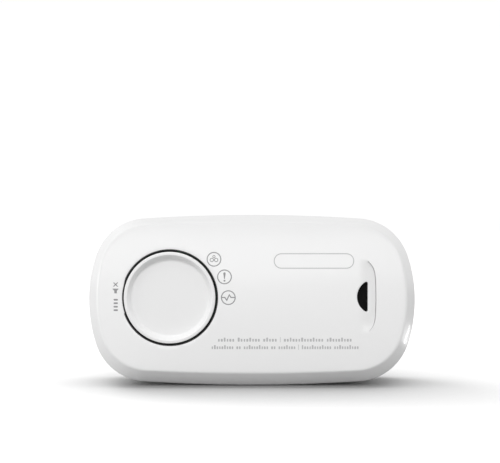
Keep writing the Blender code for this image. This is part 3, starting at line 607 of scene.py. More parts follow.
def build_front_cover():
    sk = Skin()
    crease = [(x, crown_y(x, z), z) for x, z in bowed_outline(**CREASE)]
    hub = [(x * 0.9, crown_y(x * 0.9, CREASE["zc"] + (z - CREASE["zc"]) * 0.9), CREASE["zc"] + (z - CREASE["zc"]) * 0.9)
           for x, y, z in crease]
    ridge = at_y(bowed_outline(**RIDGE), RIDGE_Y)
    parting = at_y(bowed_outline(**PARTING), PART_Y)
    rim_in = at_y(bowed_outline(**inset(PARTING, WALL)), PART_Y)
    f1 = fillet(hub, crease, ridge, 0.75, 0.75, 7)
    f2 = fillet(crease, ridge, parting, 1.6, 1.6, 8)
    f3 = fillet(ridge, parting, rim_in, 0.35, 0.35, 4)
    # the outer skin, from the edge of the front face back to the joint, then forward inside
    rings = f1 + f2 + f3
    inner = [at_y(bowed_outline(**inset(PARTING, WALL)), PART_Y),
             at_y(bowed_outline(**inset(RIDGE, 2.3)), RIDGE_Y),
             at_y(bowed_outline(**inset(CREASE, 1.6)), CREASE_Y + WALL)]
    loops = sk.rings(rings + inner)
    # front face sheet
    outer = [(x, z) for x, _, z in f1[0]]
    lip_b, lip_d = 0.22, 0.30
    hole_b = aperture(lip_b)
    d_line = d_outline(D_RIGHT, D_HALF_H, D_BULGE, D_Z)
    hole_d = grown(d_line, lip_d)
    lines = []
    for off in (-1.3, -0.8, "floor", "edge", -0.03, 0.0, 0.3, 0.8):
        ln = []
        for k in range(3, 118):
            s = -1 + 2 * k / 120
            x0, z0 = step_curve(s - 0.004)
            x1, z1 = step_curve(s + 0.004)
            t = Vector((x1 - x0, z1 - z0)).normalized()
            xc, zc = step_curve(s)
            g = groove_width(zc)
            o = -g - 0.001 if off == "floor" else -g + 0.045 if off == "edge" else off
            ln.append((xc + t.y * o, zc - t.x * o))
        lines.append(ln)
    coords, tris, outer_ids, hole_ids = sheet_between(outer, [hole_b, hole_d], lines, 1.25,
                                                      dense=((37.0, 18.5, 46.5, 47.5), 0.45))
    i0 = add_sheet(sk, coords, tris, face_y)
    # the sheet's outer edge meets the first ring: the same points, welded by distance
    for ids, ring in ((outer_ids, loops[0]),):
        for a, b in zip(ids, ring):
            sk.v[i0 + a] = sk.v[b]

    def hole(ids, base, lip, depth_y, n=4, shift=0.0):
        """Rounded lip, then a straight wall down to the inside."""
        start = [i0 + i for i in ids]
        prev = start
        outline0 = [coords[i] for i in ids]
        full = [(p[0], p[1]) for p in base]
        for k in range(1, n + 1):
            t = k / n * pi / 2
            ring = []
            for (xo, zo), (xb, zb) in zip(outline0, full):
                x = xb + (xo - xb) * (1 - sin(t))
                z = zb + (zo - zb) * (1 - sin(t))
                ring.append((x, face_y(xo, zo) + lip * (1 - cos(t)), z))
            cur = sk.loop(ring)
            sk.bridge(prev, cur)
            prev = cur
        end = sk.loop([(x, depth_y, z) for x, z in full])
        sk.bridge(prev, end)
        return end

    end_b = hole(hole_ids[0], aperture(0.0), lip_b, CREASE_Y + WALL)
    end_d = hole(hole_ids[1], d_line, lip_d, CREASE_Y + WALL)
    # inner face of the front wall
    inner_out = [(x, z) for x, _, z in inner[-1]]
    coords2, tris2, out2, holes2 = sheet_between(inner_out, [aperture(0.0), d_line], [], 4.0, 1.2)
    j0 = add_sheet(sk, coords2, tris2, lambda x, z: CREASE_Y + WALL)
    for ids, ring in ((out2, loops[-1]), (holes2[0], end_b), (holes2[1], end_d)):
        for a, b in zip(ids, ring):
            sk.v[j0 + a] = sk.v[b]
    ob = sk.object("front_cover_shell", M["white_case"], "housing", "white_case", sharp=50)
    return ob


front_shell = build_front_cover()
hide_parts("front_cover")

# ------------------------------------------------------------------ turned pieces
def turned(name, profile, steps, at, mat, body="housing", slot=None, sharp=40, axis="front"):
    """Closed profile of (radius, height in mm) spun about an axis through at; height runs to the front."""
    sk = Skin()
    cx, cy, cz = at
    loops = []
    for r, h in profile:
        ring = []
        if r < 1e-6:
            loops.append(("tip", sk.loop([(cx, cy - h, cz)])[0]))
            continue
        for i in range(steps):
            t = 2 * pi * i / steps
            ring.append((cx + r * cos(t), cy - h, cz + r * sin(t)))
        loops.append(("ring", sk.loop(ring)))
    for (ka, a), (kb, b) in zip(loops, loops[1:]):
        if ka == "ring" and kb == "ring":
            sk.bridge(a, b)
        elif ka == "tip" and kb == "ring":
            sk.f.extend((a, b[i], b[(i + 1) % steps]) for i in range(steps))
        elif ka == "ring" and kb == "tip":
            sk.f.extend((b, a[(i + 1) % steps], a[i]) for i in range(steps))
    if loops[0][0] == "ring":
        sk.bridge(loops[-1][1], loops[0][1])
    return sk.object(name, mat, body, slot, sharp)


def round_corner(pts, radii, n=5):
    """Polyline with its inner corners rounded."""
    out = [pts[0]]
    for i in range(1, len(pts) - 1):
        r = radii.get(i, 0)
        if not r:
            out.append(pts[i])
            continue
        A, B, C = Vector(pts[i - 1]), Vector(pts[i]), Vector(pts[i + 1])
        u, v = (A - B), (C - B)
        r = min(r, u.length * 0.48, v.length * 0.48)
        u.normalize(); v.normalize()
        P, Q = B + u * r, B + v * r
        w = sqrt(max((1 - u.dot(v)) / 2, 0.0))
        for k in range(n + 1):
            t = k / n
            b0, b1, b2 = (1 - t) ** 2, 2 * t * (1 - t) * w, t * t
            out.append(tuple((P * b0 + B * b1 + Q * b2) / (b0 + b1 + b2)))
    out.append(pts[-1])
    return out


def build_button():
    f = 18.0
    base = [(0.0, f - 2.45), (6.0, f - 2.43), (10.5, f - 2.37), (14.0, f - 2.22), (15.35, f - 0.02), (16.46, f - 0.04),
            (16.46, 12.4), (15.1, 12.4), (15.1, 14.4), (0.0, 14.4)]
    prof = round_corner(base, {3: 0.45, 4: 0.16, 5: 0.30, 6: 0.15, 7: 0.15}, 7)
    cap = turned("test_button_cap", prof, 192, (BTN_X, 0, BTN_Z), M["white_button"], "button", "white_button")
    return cap


button_cap = build_button()
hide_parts("test_button")


def build_gap_shade_ring():
    """Black ring that lines the button's aperture; its black is painted shade that stands in for the shadow deep in the
    gap round the button. Its front edge follows the face, just below it.
    """
    sk = Skin()
    n = 160
    prof = ((-0.01, 0.24), (-0.06, 0.16), (-0.32, 0.16), (-0.38, 0.22))
    rings = []
    for r, down in prof:
        rings.append([(x, face_y(x, z) + down, z) for x, z in aperture(r, n)])
    for r in (-0.38, -0.01):
        rings.append([(x, -14.2, z) for x, z in aperture(r, n)])
    loops = sk.rings(rings)
    sk.bridge(loops[-1], loops[0])
    return sk.object("button_gap_shade_ring", M["black_plastic"], "housing", "black_plastic", sharp=40)


# black ring in the gap round the button: painted shade standing in for the gap's shadow
bezel = build_gap_shade_ring()
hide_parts("button_bezel")


def build_rear_cover():
    sk = Skin()
    face = bowed_outline(**REAR_FACE)
    edge = bowed_outline(**REAR_EDGE)
    hub = [(x * 0.9, REAR_Y, 31.0 + (z - 31.0) * 0.9) for x, z in face]
    rings = []
    for k in range(0, 13):
        a = k / 12 * pi / 2
        mix = sin(a)
        rings.append([(xf + (xe - xf) * mix, REAR_Y - 2.6 * (1 - cos(a)), zf + (ze - zf) * mix)
                      for (xf, zf), (xe, ze) in zip(face, edge)])
    y0 = PART_Y + 0.3
    parting = at_y(bowed_outline(**PARTING), y0)
    rim_in = at_y(bowed_outline(**inset(PARTING, 2.55)), y0)
    rings += fillet(rings[-1], parting, rim_in, 0.35, 0.35, 4)
    lip_top = at_y(bowed_outline(**inset(PARTING, 2.6)), 1.4)
    lip_in = at_y(bowed_outline(**inset(PARTING, 3.7)), 1.4)
    back_in = at_y(bowed_outline(**inset(REAR_FACE, 1.2)), REAR_Y - WALL)
    rings += [rim_in]
    rings += fillet(rim_in, lip_top, lip_in, 0.25, 0.25, 3)
    rings += [lip_in, at_y(bowed_outline(**inset(PARTING, 3.8)), 8.0), back_in]
    loops = sk.rings(rings)

    keys = []
    for kx, kz in KEYHOLES:
        top = kz + KEY_RISE
        join = kz + sqrt(KEY_HEAD_R ** 2 - KEY_SLOT_R ** 2)
        a0 = asin(KEY_SLOT_R / KEY_HEAD_R)
        pts = [(kx + KEY_SLOT_R * cos(pi * i / 16), top + KEY_SLOT_R * sin(pi * i / 16)) for i in range(17)]
        pts += [(kx - KEY_SLOT_R, top + (join - top) * i / 4) for i in range(1, 4)]
        n = 36
        for i in range(n + 1):
            t = pi / 2 + a0 + (2 * pi - 2 * a0) * i / n
            pts.append((kx + KEY_HEAD_R * cos(t), kz + KEY_HEAD_R * sin(t)))
        pts += [(kx + KEY_SLOT_R, join + (top - join) * i / 4) for i in range(1, 4)]
        keys.append(pts)
    window = rrect(SLIDER_X + SLIDER_TRAVEL / 2, SLIDER_Z, 4.0 + SLIDER_TRAVEL, 3.6, 0.5, 5)
    recess = rrect(LABEL["x"], LABEL["z"], LABEL["w"], LABEL["h"], 1.6, 6)
    recess = split_long(recess, True, 2.0)
    bores = [circle(x, z, 3.2, 40) for x, z in CASE_SCREWS]
    lip = 0.28
    through = keys + [window]
    outer_holes = [grown(h, lip) for h in through + [recess] + bores]
    coords, tris, out_ids, hole_ids = sheet_between(face, outer_holes, [], 2.6, 1.0)
    i0 = add_sheet(sk, coords, tris, lambda x, z: REAR_Y)
    for a, b in zip(out_ids, loops[0]):
        sk.v[i0 + a] = sk.v[b]

    def wall(ids, base, steps, n=4):
        prev = [i0 + i for i in ids]
        o0 = [coords[i] for i in ids]
        for k in range(1, n + 1):
            t = k / n * pi / 2
            cur = sk.loop([(xb + (xo - xb) * (1 - sin(t)), REAR_Y - lip * (1 - cos(t)), zb + (zo - zb) * (1 - sin(t)))
                           for (xo, zo), (xb, zb) in zip(o0, base)])
            sk.bridge(prev, cur)
            prev = cur
        for ring in steps:
            cur = sk.loop(ring)
            sk.bridge(prev, cur)
            prev = cur
        return prev

    inner_y = REAR_Y - WALL
    ends = [wall(hole_ids[i], h, [[(x, inner_y, z) for x, z in h]]) for i, h in enumerate(through)]
    # label recess: a shallow pocket with a flat floor
    k = len(through)
    low = wall(hole_ids[k], recess, [[(x, REAR_Y - 0.6, z) for x, z in recess]], 3)
    c3, t3, o3, _ = sheet_between(recess, [], [], 5.0, 1.0)
    j0 = add_sheet(sk, c3, t3, lambda x, z: REAR_Y - 0.6)
    for a, b in zip(o3, low):
        sk.v[j0 + a] = sk.v[b]
    # screw bores: counterbore, shoulder, shank hole, sleeve
    sleeves = []
    for i, (x, z) in enumerate(CASE_SCREWS):
        steps = [at_y(circle(x, z, r, 40), y) for r, y in ((3.2, 12.4), (1.8, 12.4), (1.8, y0), (4.4, y0), (4.4, inner_y))]
        sleeves.append(wall(hole_ids[k + 1 + i], bores[i], steps))
    # inner face of the rear wall, with the two board posts
    inner_out = [(x, z) for x, _, z in back_in]
    posts = [circle(x, z, 2.6, 28) for x, z in BOARD_SCREWS]
    c2, t2, o2, h2 = sheet_between(inner_out, through + [circle(x, z, 4.4, 40) for x, z in CASE_SCREWS] + posts, [], 5.0, 1.2)
    m0 = add_sheet(sk, c2, t2, lambda x, z: inner_y)
    for ids, ring in zip([o2] + h2, [loops[-1]] + ends + sleeves):
        for a, b in zip(ids, ring):
            sk.v[m0 + a] = sk.v[b]
    for ids, (x, z) in zip(h2[len(through) + 4:], BOARD_SCREWS):
        prev = [m0 + i for i in ids]
        for r, y in ((2.6, 2.9), (1.4, 2.9), (1.4, 12.0)):
            cur = sk.loop(at_y(circle(x, z, r, 28), y))
            sk.bridge(prev, cur)
            prev = cur
        sk.f.append(tuple(prev))
    return sk.object("rear_cover_shell", M["white_rear"], None, None, sharp=45)


def apply_cut(ob, cutter):
    """Boolean difference, applied, and the cutter removed."""
    m = ob.modifiers.new("cut", "BOOLEAN")
    m.operation = "DIFFERENCE"
    m.solver = "EXACT"
    m.object = cutter
    bpy.context.view_layer.update()
    dg = bpy.context.evaluated_depsgraph_get()
    me = bpy.data.meshes.new_from_object(ob.evaluated_get(dg))
    old = ob.data
    ob.modifiers.clear()
    ob.data = me
    bpy.data.meshes.remove(old)
    bpy.data.objects.remove(cutter, do_unlink=True)
    me.shade_smooth()
    me.set_sharp_from_angle(angle=radians(40))
    return ob


def stadium_prism(name, specs, z0, z1):
    """Vertical prisms with rounded ends, one for each (x, y0, y1, half width)."""
    sk = Skin()
    for x, ya, yb, h in specs:
        pts = [(x + h * cos(pi * i / 8), yb - h + h * sin(pi * i / 8)) for i in range(9)]
        pts += [(x - h * cos(pi * i / 8), ya + h - h * sin(pi * i / 8)) for i in range(9)]
        a = sk.loop([(px, py, z0) for px, py in pts])
        b = sk.loop([(px, py, z1) for px, py in pts])
        sk.bridge(a, b)
        sk.f.append(tuple(a))
        sk.f.append(tuple(b))
    return sk.object(name, None, None)


def solid_box(name, lo, hi, r, mat, body, seg=3):
    bm = bmesh.new()
    bmesh.ops.create_cube(bm, size=1.0)
    size = [h - l for l, h in zip(lo, hi)]
    bmesh.ops.scale(bm, vec=[s * MM for s in size], verts=bm.verts)
    if r:
        bmesh.ops.bevel(bm, geom=list(bm.edges), offset=r * MM, segments=seg, profile=0.5, affect="EDGES")
    bmesh.ops.translate(bm, vec=[(l + h) / 2 * MM for l, h in zip(lo, hi)], verts=bm.verts)
    bmesh.ops.recalc_face_normals(bm, faces=bm.faces)
    me = bpy.data.meshes.new(name)
    bm.to_mesh(me)
    bm.free()
    return finish_mesh(name, me, mat, body, 35)


# ------------------------------------------------------------------ printed symbols on the face
def split_long(pts, closed, most):
    out = []
    n = len(pts)
    for i in range(n if closed else n - 1):
        x0, z0 = pts[i]
        x1, z1 = pts[(i + 1) % n]
        k = max(int(hypot(x1 - x0, z1 - z0) / most), 1)
        out += [(x0 + (x1 - x0) * j / k, z0 + (z1 - z0) * j / k) for j in range(k)]
    return out if closed else out + [pts[-1]]


def ribbon(name, paths, width, mat, lift=0.012, thick=0.03, body="housing"):
    """Flat printed strokes that follow the front face. paths: list of (points, closed)."""
    sk = Skin()
    for pts, closed in paths:
        pts = split_long(pts, closed, 0.8)
        n = len(pts)
        left, right = [], []
        for i in range(n):
            p0 = pts[i - 1] if (i > 0 or closed) else pts[i]
            p2 = pts[(i + 1) % n] if (i < n - 1 or closed) else pts[i]
            p1 = pts[i]
            d1 = Vector((p1[0] - p0[0], p1[1] - p0[1]))
            d2 = Vector((p2[0] - p1[0], p2[1] - p1[1]))
            d1 = d1.normalized() if d1.length > 1e-9 else d2.normalized()
            d2 = d2.normalized() if d2.length > 1e-9 else d1
            m = (d1 + d2)
            m = m.normalized() if m.length > 1e-6 else d1
            nrm = Vector((-m.y, m.x))
            c = max(nrm.dot(Vector((-d1.y, d1.x))), 0.5)
            left.append((p1[0] + nrm.x * width / 2 / c, p1[1] + nrm.y * width / 2 / c))
            right.append((p1[0] - nrm.x * width / 2 / c, p1[1] - nrm.y * width / 2 / c))
        front = lambda q, up: (q[0], face_y(*q) - up, q[1])
        top_l = sk.loop([front(q, lift) for q in left])
        top_r = sk.loop([front(q, lift) for q in right])
        low_l = sk.loop([front(q, lift - thick) for q in left])
        low_r = sk.loop([front(q, lift - thick) for q in right])
        m = n if closed else n - 1
        for i in range(m):
            j = (i + 1) % n
            sk.f += [(top_l[i], top_l[j], top_r[j], top_r[i]), (low_l[i], low_r[i], low_r[j], low_l[j]),
                     (top_l[i], low_l[i], low_l[j], top_l[j]), (top_r[i], top_r[j], low_r[j], low_r[i])]
        if not closed:
            sk.f += [(top_l[0], top_r[0], low_r[0], low_l[0]), (top_l[-1], low_l[-1], low_r[-1], top_r[-1])]
    return sk.object(name, mat, body, None, sharp=35)


def dabs(name, bars, mat, lift=0.012, thick=0.03, surface=None):
    """Small filled printed shapes: each is a convex loop of (x, z)."""
    surface = surface or face_y
    sk = Skin()
    for loop in bars:
        top = sk.loop([(x, surface(x, z) - lift, z) for x, z in loop])
        low = sk.loop([(x, surface(x, z) - lift + thick, z) for x, z in loop])
        sk.f.append(tuple(top))
        sk.f.append(tuple(reversed(low)))
        sk.bridge(top, low)
    return sk.object(name, mat, "housing", None, sharp=35)


def rrect(cx, cz, w, h, r, n=3):
    r = min(r, w / 2 - 1e-4, h / 2 - 1e-4)
    pts = []
    for sx, sz, t0 in ((1, 1, 0), (-1, 1, 90), (-1, -1, 180), (1, -1, 270)):
        for i in range(n + 1):
            t = radians(t0 + 90 * i / n)
            pts.append((cx + sx * (w / 2 - r) + r * cos(t), cz + sz * (h / 2 - r) + r * sin(t)))
    return pts


def symbols():
    out = []
    rings = [(circle(x, z, 2.46, 56), True) for x, z in ICONS]
    out.append(ribbon("symbol_rings", rings, 0.36, M["ink_grey"]))
    # gas symbol: three linked drops of gas as small circles
    x, z = ICONS[0]
    gas = [(circle(x - 0.78, z - 0.25, 0.62, 24), True), (circle(x + 0.78, z - 0.25, 0.62, 24), True),
           (circle(x, z + 0.95, 0.42, 20), True), ([(x - 0.2, z - 0.25), (x + 0.2, z - 0.25)], False)]
    out.append(ribbon("symbol_gas", gas, 0.26, M["ink_grey"]))
    # fault symbol: exclamation mark
    x, z = ICONS[1]
    mark = [[(x - 0.15, z - 0.72), (x + 0.15, z - 0.72), (x + 0.42, z + 1.35), (x + 0.22, z + 1.62), (x - 0.22, z + 1.62), (x - 0.42, z + 1.35)],
            circle(x, z - 1.36, 0.34, 16)]
    out.append(dabs("symbol_fault", mark, M["ink_grey"]))
    # power symbol: a pulse line across the ring
    x, z = ICONS[2]
    pulse = [([(x - 2.3, z + 0.05), (x - 1.25, z + 0.05), (x - 0.55, z - 0.95), (x + 0.35, z + 1.0), (x + 0.95, z + 0.05), (x + 2.3, z + 0.05)], False)]
    out.append(ribbon("symbol_pulse", pulse, 0.38, M["ink_grey"]))
    # silence symbol left of the button, turned a quarter turn: loudspeaker and cross
    cx, cz = -49.05, 35.2
    spk = [[(cx + 0.45, cz - 0.95), (cx + 0.45, cz - 0.1), (cx - 0.45, cz - 0.1), (cx - 0.45, cz - 0.95)],
           [(cx - 0.45, cz - 0.1), (cx + 0.45, cz - 0.1), (cx + 1.15, cz + 0.75), (cx - 1.15, cz + 0.75)]]
    cross = [([(cx - 0.75, cz + 1.5), (cx + 0.75, cz + 2.95)], False), ([(cx + 0.75, cz + 1.5), (cx - 0.75, cz + 2.95)], False)]
    out.append(dabs("symbol_silence", spk, M["ink_grey"]))
    out.append(ribbon("symbol_cross", cross, 0.34, M["ink_grey"]))
    # blank marks in place of the word under it
    ticks = [rrect(cx + 0.05, 28.2 + 1.25 * i, 1.5, 0.62, 0.2) for i in range(4)]
    out.append(dabs("label_ticks", ticks, M["ink_grey"]))
    # empty outlined plate, upper right
    plate = rrect(22.3, 45.9, 28.6, 5.2, 2.6, 14)
    out.append(ribbon("blank_plate_outline", [(plate, True)], 0.30, M["ink_light"]))
    # rows of blank marks, lower right
    bars = []
    for z0, xa, xb, words in ((17.6, -12.4, 36.0, (6, 8, 5, 0, 14, 9)), (14.9, -14.7, 38.5, (9, 2, 10, 2, 7, 0, 12, 10))):
        units = sum(w + 0.9 if w else 1.3 for w in words) - 0.9
        u = (xb - xa) / units
        x = xa
        for wn in words:
            if wn == 0:
                bars.append(rrect(x + 0.2 * u, z0, 0.16, 1.9, 0.07))
                x += 1.3 * u
                continue
            for k in range(wn):
                tall = 1.45 if (k * 7 + wn) % 4 == 0 else 1.0
                bars.append(rrect(x + 0.5 * u, z0 - 0.2 + (tall - 1.0) / 2, u * (0.52 + 0.09 * ((k * 5 + wn) % 3)), tall, 0.2))
                x += u
            x += 0.9 * u
    out.append(dabs("small_print_marks", bars, M["ink_light"]))
    return out


symbols()

# ------------------------------------------------------------------ pieces inside the front cover and under the button
HINGE_X, HINGE_Y, PIN_R, TONGUE_W = -50.5, -12.5, 0.8, 12.4


def rod_rings(cx, cy, r, zs, n=48):
    return [[(cx + r * cos(2 * pi * i / n), cy + r * sin(2 * pi * i / n), z) for i in range(n)] for z in zs]


def tube_z(name, cx, cy, r, bore, z0, z1, mat, body, slot, e=0.2):
    """Round tube along Z with softened ends."""
    sk = Skin()
    rings = (rod_rings(cx, cy, r - e, [z0]) + rod_rings(cx, cy, r - 0.3 * e, [z0 + 0.3 * e]) + rod_rings(cx, cy, r, [z0 + e, z1 - e])
             + rod_rings(cx, cy, r - 0.3 * e, [z1 - 0.3 * e]) + rod_rings(cx, cy, r - e, [z1]) + rod_rings(cx, cy, bore, [z1, z0]))
    loops = sk.rings(rings)
    sk.bridge(loops[-1], loops[0])
    return sk.object(name, mat, body, slot, sharp=40)


def rod_cutter(name, cx, cy, r, z0, z1):
    sk = Skin()
    loops = sk.rings(rod_rings(cx, cy, r, [z0, z1]))
    sk.f.append(tuple(loops[0]))
    sk.f.append(tuple(loops[1]))
    return sk.object(name, None, None)


for i, (x, z) in enumerate(CASE_SCREWS, 1):
    post = turned(f"front_post_{i}", [(0.0, 15.2), (3.6, 15.2), (3.3, 14.6), (3.2, 14.0), (3.2, -3.3), (3.05, -3.55), (2.85, -3.6), (1.95, -3.6),
                                      (1.65, -3.3), (1.65, 9.2), (1.3, 9.6), (0.0, 9.6)], 48, (x, 0, z), M["white_case"], "housing", "white_case")
    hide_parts("front_cover")
for side, tag in ((-1, "low"), (1, "high")):
    za = BTN_Z + side * (TONGUE_W / 2 + 0.5)
    zb = za + side * 2.6
    ear = solid_box(f"hinge_ear_{tag}", (HINGE_X - 1.9, -15.4, min(za, zb)), (HINGE_X + 1.9, HINGE_Y + 1.9, max(za, zb)), 0.35,
                    M["white_case"], "housing", 3)
    apply_cut(ear, rod_cutter("ear_bore_cutter", HINGE_X, HINGE_Y, PIN_R + 0.3, min(za, zb) - 1, max(za, zb) + 1))
    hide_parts("front_cover")
ring = turned("sounder_seat_ring", [(14.35, 15.1), (15.6, 15.1), (15.6, 9.7), (15.45, 9.5), (14.5, 9.5), (14.35, 9.7)], 96, (SOUNDER_X, 0, SOUNDER_Z),
              M["white_case"], "housing", "white_case")
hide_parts("front_cover")

tongue = solid_box("button_tongue", (HINGE_X + 0.4, HINGE_Y - 1.5, BTN_Z - TONGUE_W / 2), (-43.7, HINGE_Y + 0.1, BTN_Z + TONGUE_W / 2), 0.3,
                   M["white_button"], "button", 3)
apply_cut(tongue, rod_cutter("tongue_bore_cutter", HINGE_X, HINGE_Y, PIN_R + 0.3, BTN_Z - 8, BTN_Z + 8))
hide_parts("test_button")
barrel = tube_z("button_barrel", HINGE_X, HINGE_Y, 1.7, PIN_R + 0.3, BTN_Z - TONGUE_W / 2, BTN_Z + TONGUE_W / 2, M["white_button"], "button", "white_button")
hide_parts("test_button")
push_post = turned("button_push_post", [(0.0, 14.9), (2.4, 14.9), (2.1, 14.5), (2.0, 14.0), (2.0, 8.6), (1.75, 8.35), (0.0, 8.3)], 40,
                   (SWITCH_X, 0, BTN_Z), M["white_button"], "button", "white_button")
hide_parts("test_button")

# ------------------------------------------------------------------ rear cover
rear_shell = build_rear_cover()
apply_cut(rear_shell, stadium_prism("air_slot_cutter", [(-12.5 + 5.0 * i, 7.0, 13.0, 0.8) for i in range(6)], -2.0, 66.0))
if not rear_shell.data.materials:
    rear_shell.data.materials.append(M["white_rear"])
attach(rear_shell, "housing")
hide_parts("rear_cover")
for side, x in (("left", -30.0), ("right", 30.0)):
    solid_box(f"rear_foot_{side}", (x - 6.0, 8.0, 0.0), (x + 6.0, 14.5, 2.6), 0.55, M["white_rear"], "housing", 4)

CELL_Y, CELL_Z, CELL_R = 6.5, 31.0, 8.5
for i, x in enumerate((22.0, 44.0), 1):
    rib = solid_box(f"cell_rib_{i}", (x - 0.8, 5.4, CELL_Z - 10.2), (x + 0.8, 15.9, CELL_Z + 10.2), 0.25, M["white_rear"], "housing", 3)
    sk = Skin()
    saddle = sk.rings([[(px, CELL_Y + (CELL_R + 0.35) * cos(2 * pi * k / 72), CELL_Z + (CELL_R + 0.35) * sin(2 * pi * k / 72)) for k in range(72)]
                       for px in (x - 3.0, x + 3.0)])
    sk.f.extend(tuple(loop) for loop in saddle)
    apply_cut(rib, sk.object("saddle_cutter", None, None))
    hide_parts("rear_cover")

# blank marks on the rating label: a heading bar, rows of bars, and a ruled box
LABEL_Y = max((n.matrix_world @ v.co).y for n in bpy.context.scene.objects if n.name == "rating_label" for v in n.data.vertices) / MM
marks = [rrect(-12.0, 45.6, 16.0, 1.5, 0.3)]
for row in range(6):
    x = -20.0
    for k in range(5):
        w = 2.6 + (k * 3 + row * 5) % 4 * 0.9
        if x + w > 3.5:
            break
        marks.append(rrect(x + w / 2, 42.4 - row * 2.2, w, 0.75, 0.2))
        x += w + 0.9
for xa, za, w, h in ((12.5, 46.0, 15.0, 0.25), (12.5, 31.0, 15.0, 0.25), (5.1, 38.5, 0.25, 15.2), (19.9, 38.5, 0.25, 15.2)):
    marks.append(rrect(xa, za, w, h, 0.1))
for k in range(5):
    marks.append(rrect(12.5, 43.6 - k * 2.5, 11.0 - (k % 3) * 1.8, 0.75, 0.2))
dabs("label_marks", marks, M["grey_plastic"], -0.012, -0.03, surface=lambda x, z: LABEL_Y)

# ------------------------------------------------------------------ stage and light
STRIP_POWER = 0.0100
TENT = 0.88                         # even white surround, as the object sees it
SOFTBOXES = (
    # name, place, aimed at, width, height, power, what it lights (all when empty)
    ("left_panel", (-0.50, -0.10, 0.15), (0.0, 0.0, 0.03), 0.40, 0.30, 0.13, ""),
    ("left_low", (-0.45, -0.12, 0.05), (0.0, 0.0, 0.03), 0.30, 0.08, 0.28, ""),
    ("front_panel", (0.0, -0.90, 0.35), (0.0, 0.0, 0.03), 0.60, 0.40, 0.50, ""),
    ("front_low", (0.0, -0.90, 0.055), (0.0, 0.0, 0.03), 0.60, 0.09, 1.12, "not button"),
    ("rear_left", (-0.35, 0.35, 0.45), (0.0, 0.0, 0.0), 0.35, 0.35, 0.075, ""),
    ("button_key", (-0.0533, -0.1853, 0.2155), (-0.0296, -0.0165, 0.0327), 0.05, 0.03, 0.215, "button"),
    ("floor_rear_left", (-0.35, 0.35, 0.45), (0.0, 0.0, 0.0), 0.35, 0.35, 1.25, "floor"),
)
FLOOR_PAINTED_SHADOW, FLOOR_OPEN = 0.50, 1.07  # floor tone seen by the camera: painted shadow where the object is nearby, and the tone in the open
floor_me = bpy.data.meshes.new("floor")
bm = bmesh.new()
bmesh.ops.create_grid(bm, x_segments=1, y_segments=1, size=60.0)
bm.to_mesh(floor_me)
bm.free()
floor = bpy.data.objects.new("floor", floor_me)
bpy.context.scene.collection.objects.link(floor)
floor.location = (0, 0, -0.00002)
fm = bpy.data.materials.new("floor_white_painted_shadow")
fm.use_nodes = True
nt = fm.node_tree
fb = nt.nodes["Principled BSDF"]
fb.inputs["Roughness"].default_value = 0.9
fb.inputs["Specular IOR Level"].default_value = 0.1
# camera rays see a painted floor tone: the AO node paints a contact shadow under and around the object, and a distance
# ramp paints the floor brighter farther away; other rays see plain grey 0.46
lp = nt.nodes.new("ShaderNodeLightPath")
near = nt.nodes.new("ShaderNodeAmbientOcclusion")
near.samples = 16
near.inputs["Distance"].default_value = 0.05
painted_shadow_tone = nt.nodes.new("ShaderNodeMapRange")
painted_shadow_tone.inputs["From Min"].default_value = 0.35
painted_shadow_tone.inputs["From Max"].default_value = 1.0
painted_shadow_tone.inputs["To Min"].default_value = FLOOR_PAINTED_SHADOW
painted_shadow_tone.inputs["To Max"].default_value = FLOOR_OPEN
nt.links.new(near.outputs["AO"], painted_shadow_tone.inputs["Value"])
fmix = nt.nodes.new("ShaderNodeMix")
fmix.data_type = "RGBA"
fmix.inputs["A"].default_value = (0.46, 0.46, 0.46, 1)
away = nt.nodes.new("ShaderNodeVectorMath")
away.operation = "LENGTH"
nt.links.new(_coords(nt), away.inputs[0])
# painted light: the camera-seen floor tone rises with distance from the object
painted_far_light = nt.nodes.new("ShaderNodeMapRange")
painted_far_light.inputs["From Min"].default_value = 0.10
painted_far_light.inputs["From Max"].default_value = 0.30
painted_far_light.inputs["To Min"].default_value = 1.0
painted_far_light.inputs["To Max"].default_value = 1.18
nt.links.new(away.outputs["Value"], painted_far_light.inputs["Value"])
tone = nt.nodes.new("ShaderNodeMath")
tone.operation = "MULTIPLY"
nt.links.new(painted_shadow_tone.outputs["Result"], tone.inputs[0])
nt.links.new(painted_far_light.outputs["Result"], tone.inputs[1])
nt.links.new(lp.outputs["Is Camera Ray"], fmix.inputs["Factor"])
nt.links.new(tone.outputs["Value"], fmix.inputs["B"])
nt.links.new(fmix.outputs["Result"], fb.inputs["Base Color"])
floor_me.materials.append(fm)

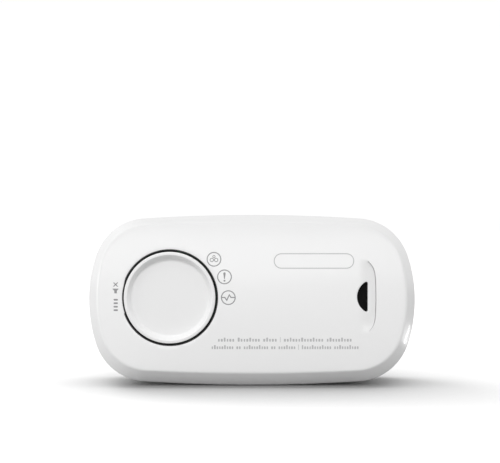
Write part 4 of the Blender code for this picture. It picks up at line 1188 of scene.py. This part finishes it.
world = bpy.data.worlds.new("studio")
bpy.context.scene.world = world
world.use_nodes = True
wt = world.node_tree
backdrop = wt.nodes["Background"]
backdrop.inputs["Color"].default_value = (1, 1, 1, 1)
backdrop.inputs["Strength"].default_value = 1.02
tent = wt.nodes.new("ShaderNodeBackground")
tent.name = "tent"
tent.inputs["Color"].default_value = (1, 1, 1, 1)
tent.inputs["Strength"].default_value = TENT
wlp = wt.nodes.new("ShaderNodeLightPath")
wmix = wt.nodes.new("ShaderNodeMixShader")
wt.links.new(wlp.outputs["Is Camera Ray"], wmix.inputs["Fac"])
wt.links.new(tent.outputs["Background"], wmix.inputs[1])
wt.links.new(backdrop.outputs["Background"], wmix.inputs[2])
wt.links.new(wmix.outputs["Shader"], wt.nodes["World Output"].inputs["Surface"])


receivers = {}
for group, target, state in (("button", button_cap, "INCLUDE"), ("not button", button_cap, "EXCLUDE"), ("floor", floor, "INCLUDE"),
                             ("front cover", front_shell, "INCLUDE")):
    receivers[group] = bpy.data.collections.new("lit_" + group.replace(" ", "_"))
    receivers[group].objects.link(target)
    receivers[group].collection_objects[0].light_linking.link_state = state


def softbox(name, loc, target, size_x, size_y, power, lights):
    d = bpy.data.lights.new(name, "AREA")
    d.shape = "RECTANGLE"
    d.size = size_x
    d.size_y = size_y
    d.energy = power
    o = bpy.data.objects.new(name, d)
    bpy.context.scene.collection.objects.link(o)
    o.location = loc
    o.rotation_euler = (Vector(target) - Vector(loc)).to_track_quat("-Z", "Y").to_euler()
    if lights:
        o.light_linking.receiver_collection = receivers[lights]
    return o


for spec in SOFTBOXES:
    softbox(*spec)

# thin strip lying on the floor to the right: its reflection makes the bright slash on the lower right chamfer
strip = softbox("floor_strip", (0.1135, 0.0415, 0.0010), (0.1135, 0.0415, 1.0), 0.0700, 0.0008, STRIP_POWER, "front cover")
strip.rotation_euler = (pi, 0.0, radians(43.2))
strip.visible_camera = False
strip.visible_diffuse = False

bpy.context.scene.view_settings.view_transform = "Standard"
bpy.context.scene.view_settings.look = "None"
bpy.context.scene.view_settings.exposure = 0.0
bpy.context.scene.view_settings.gamma = 1.0
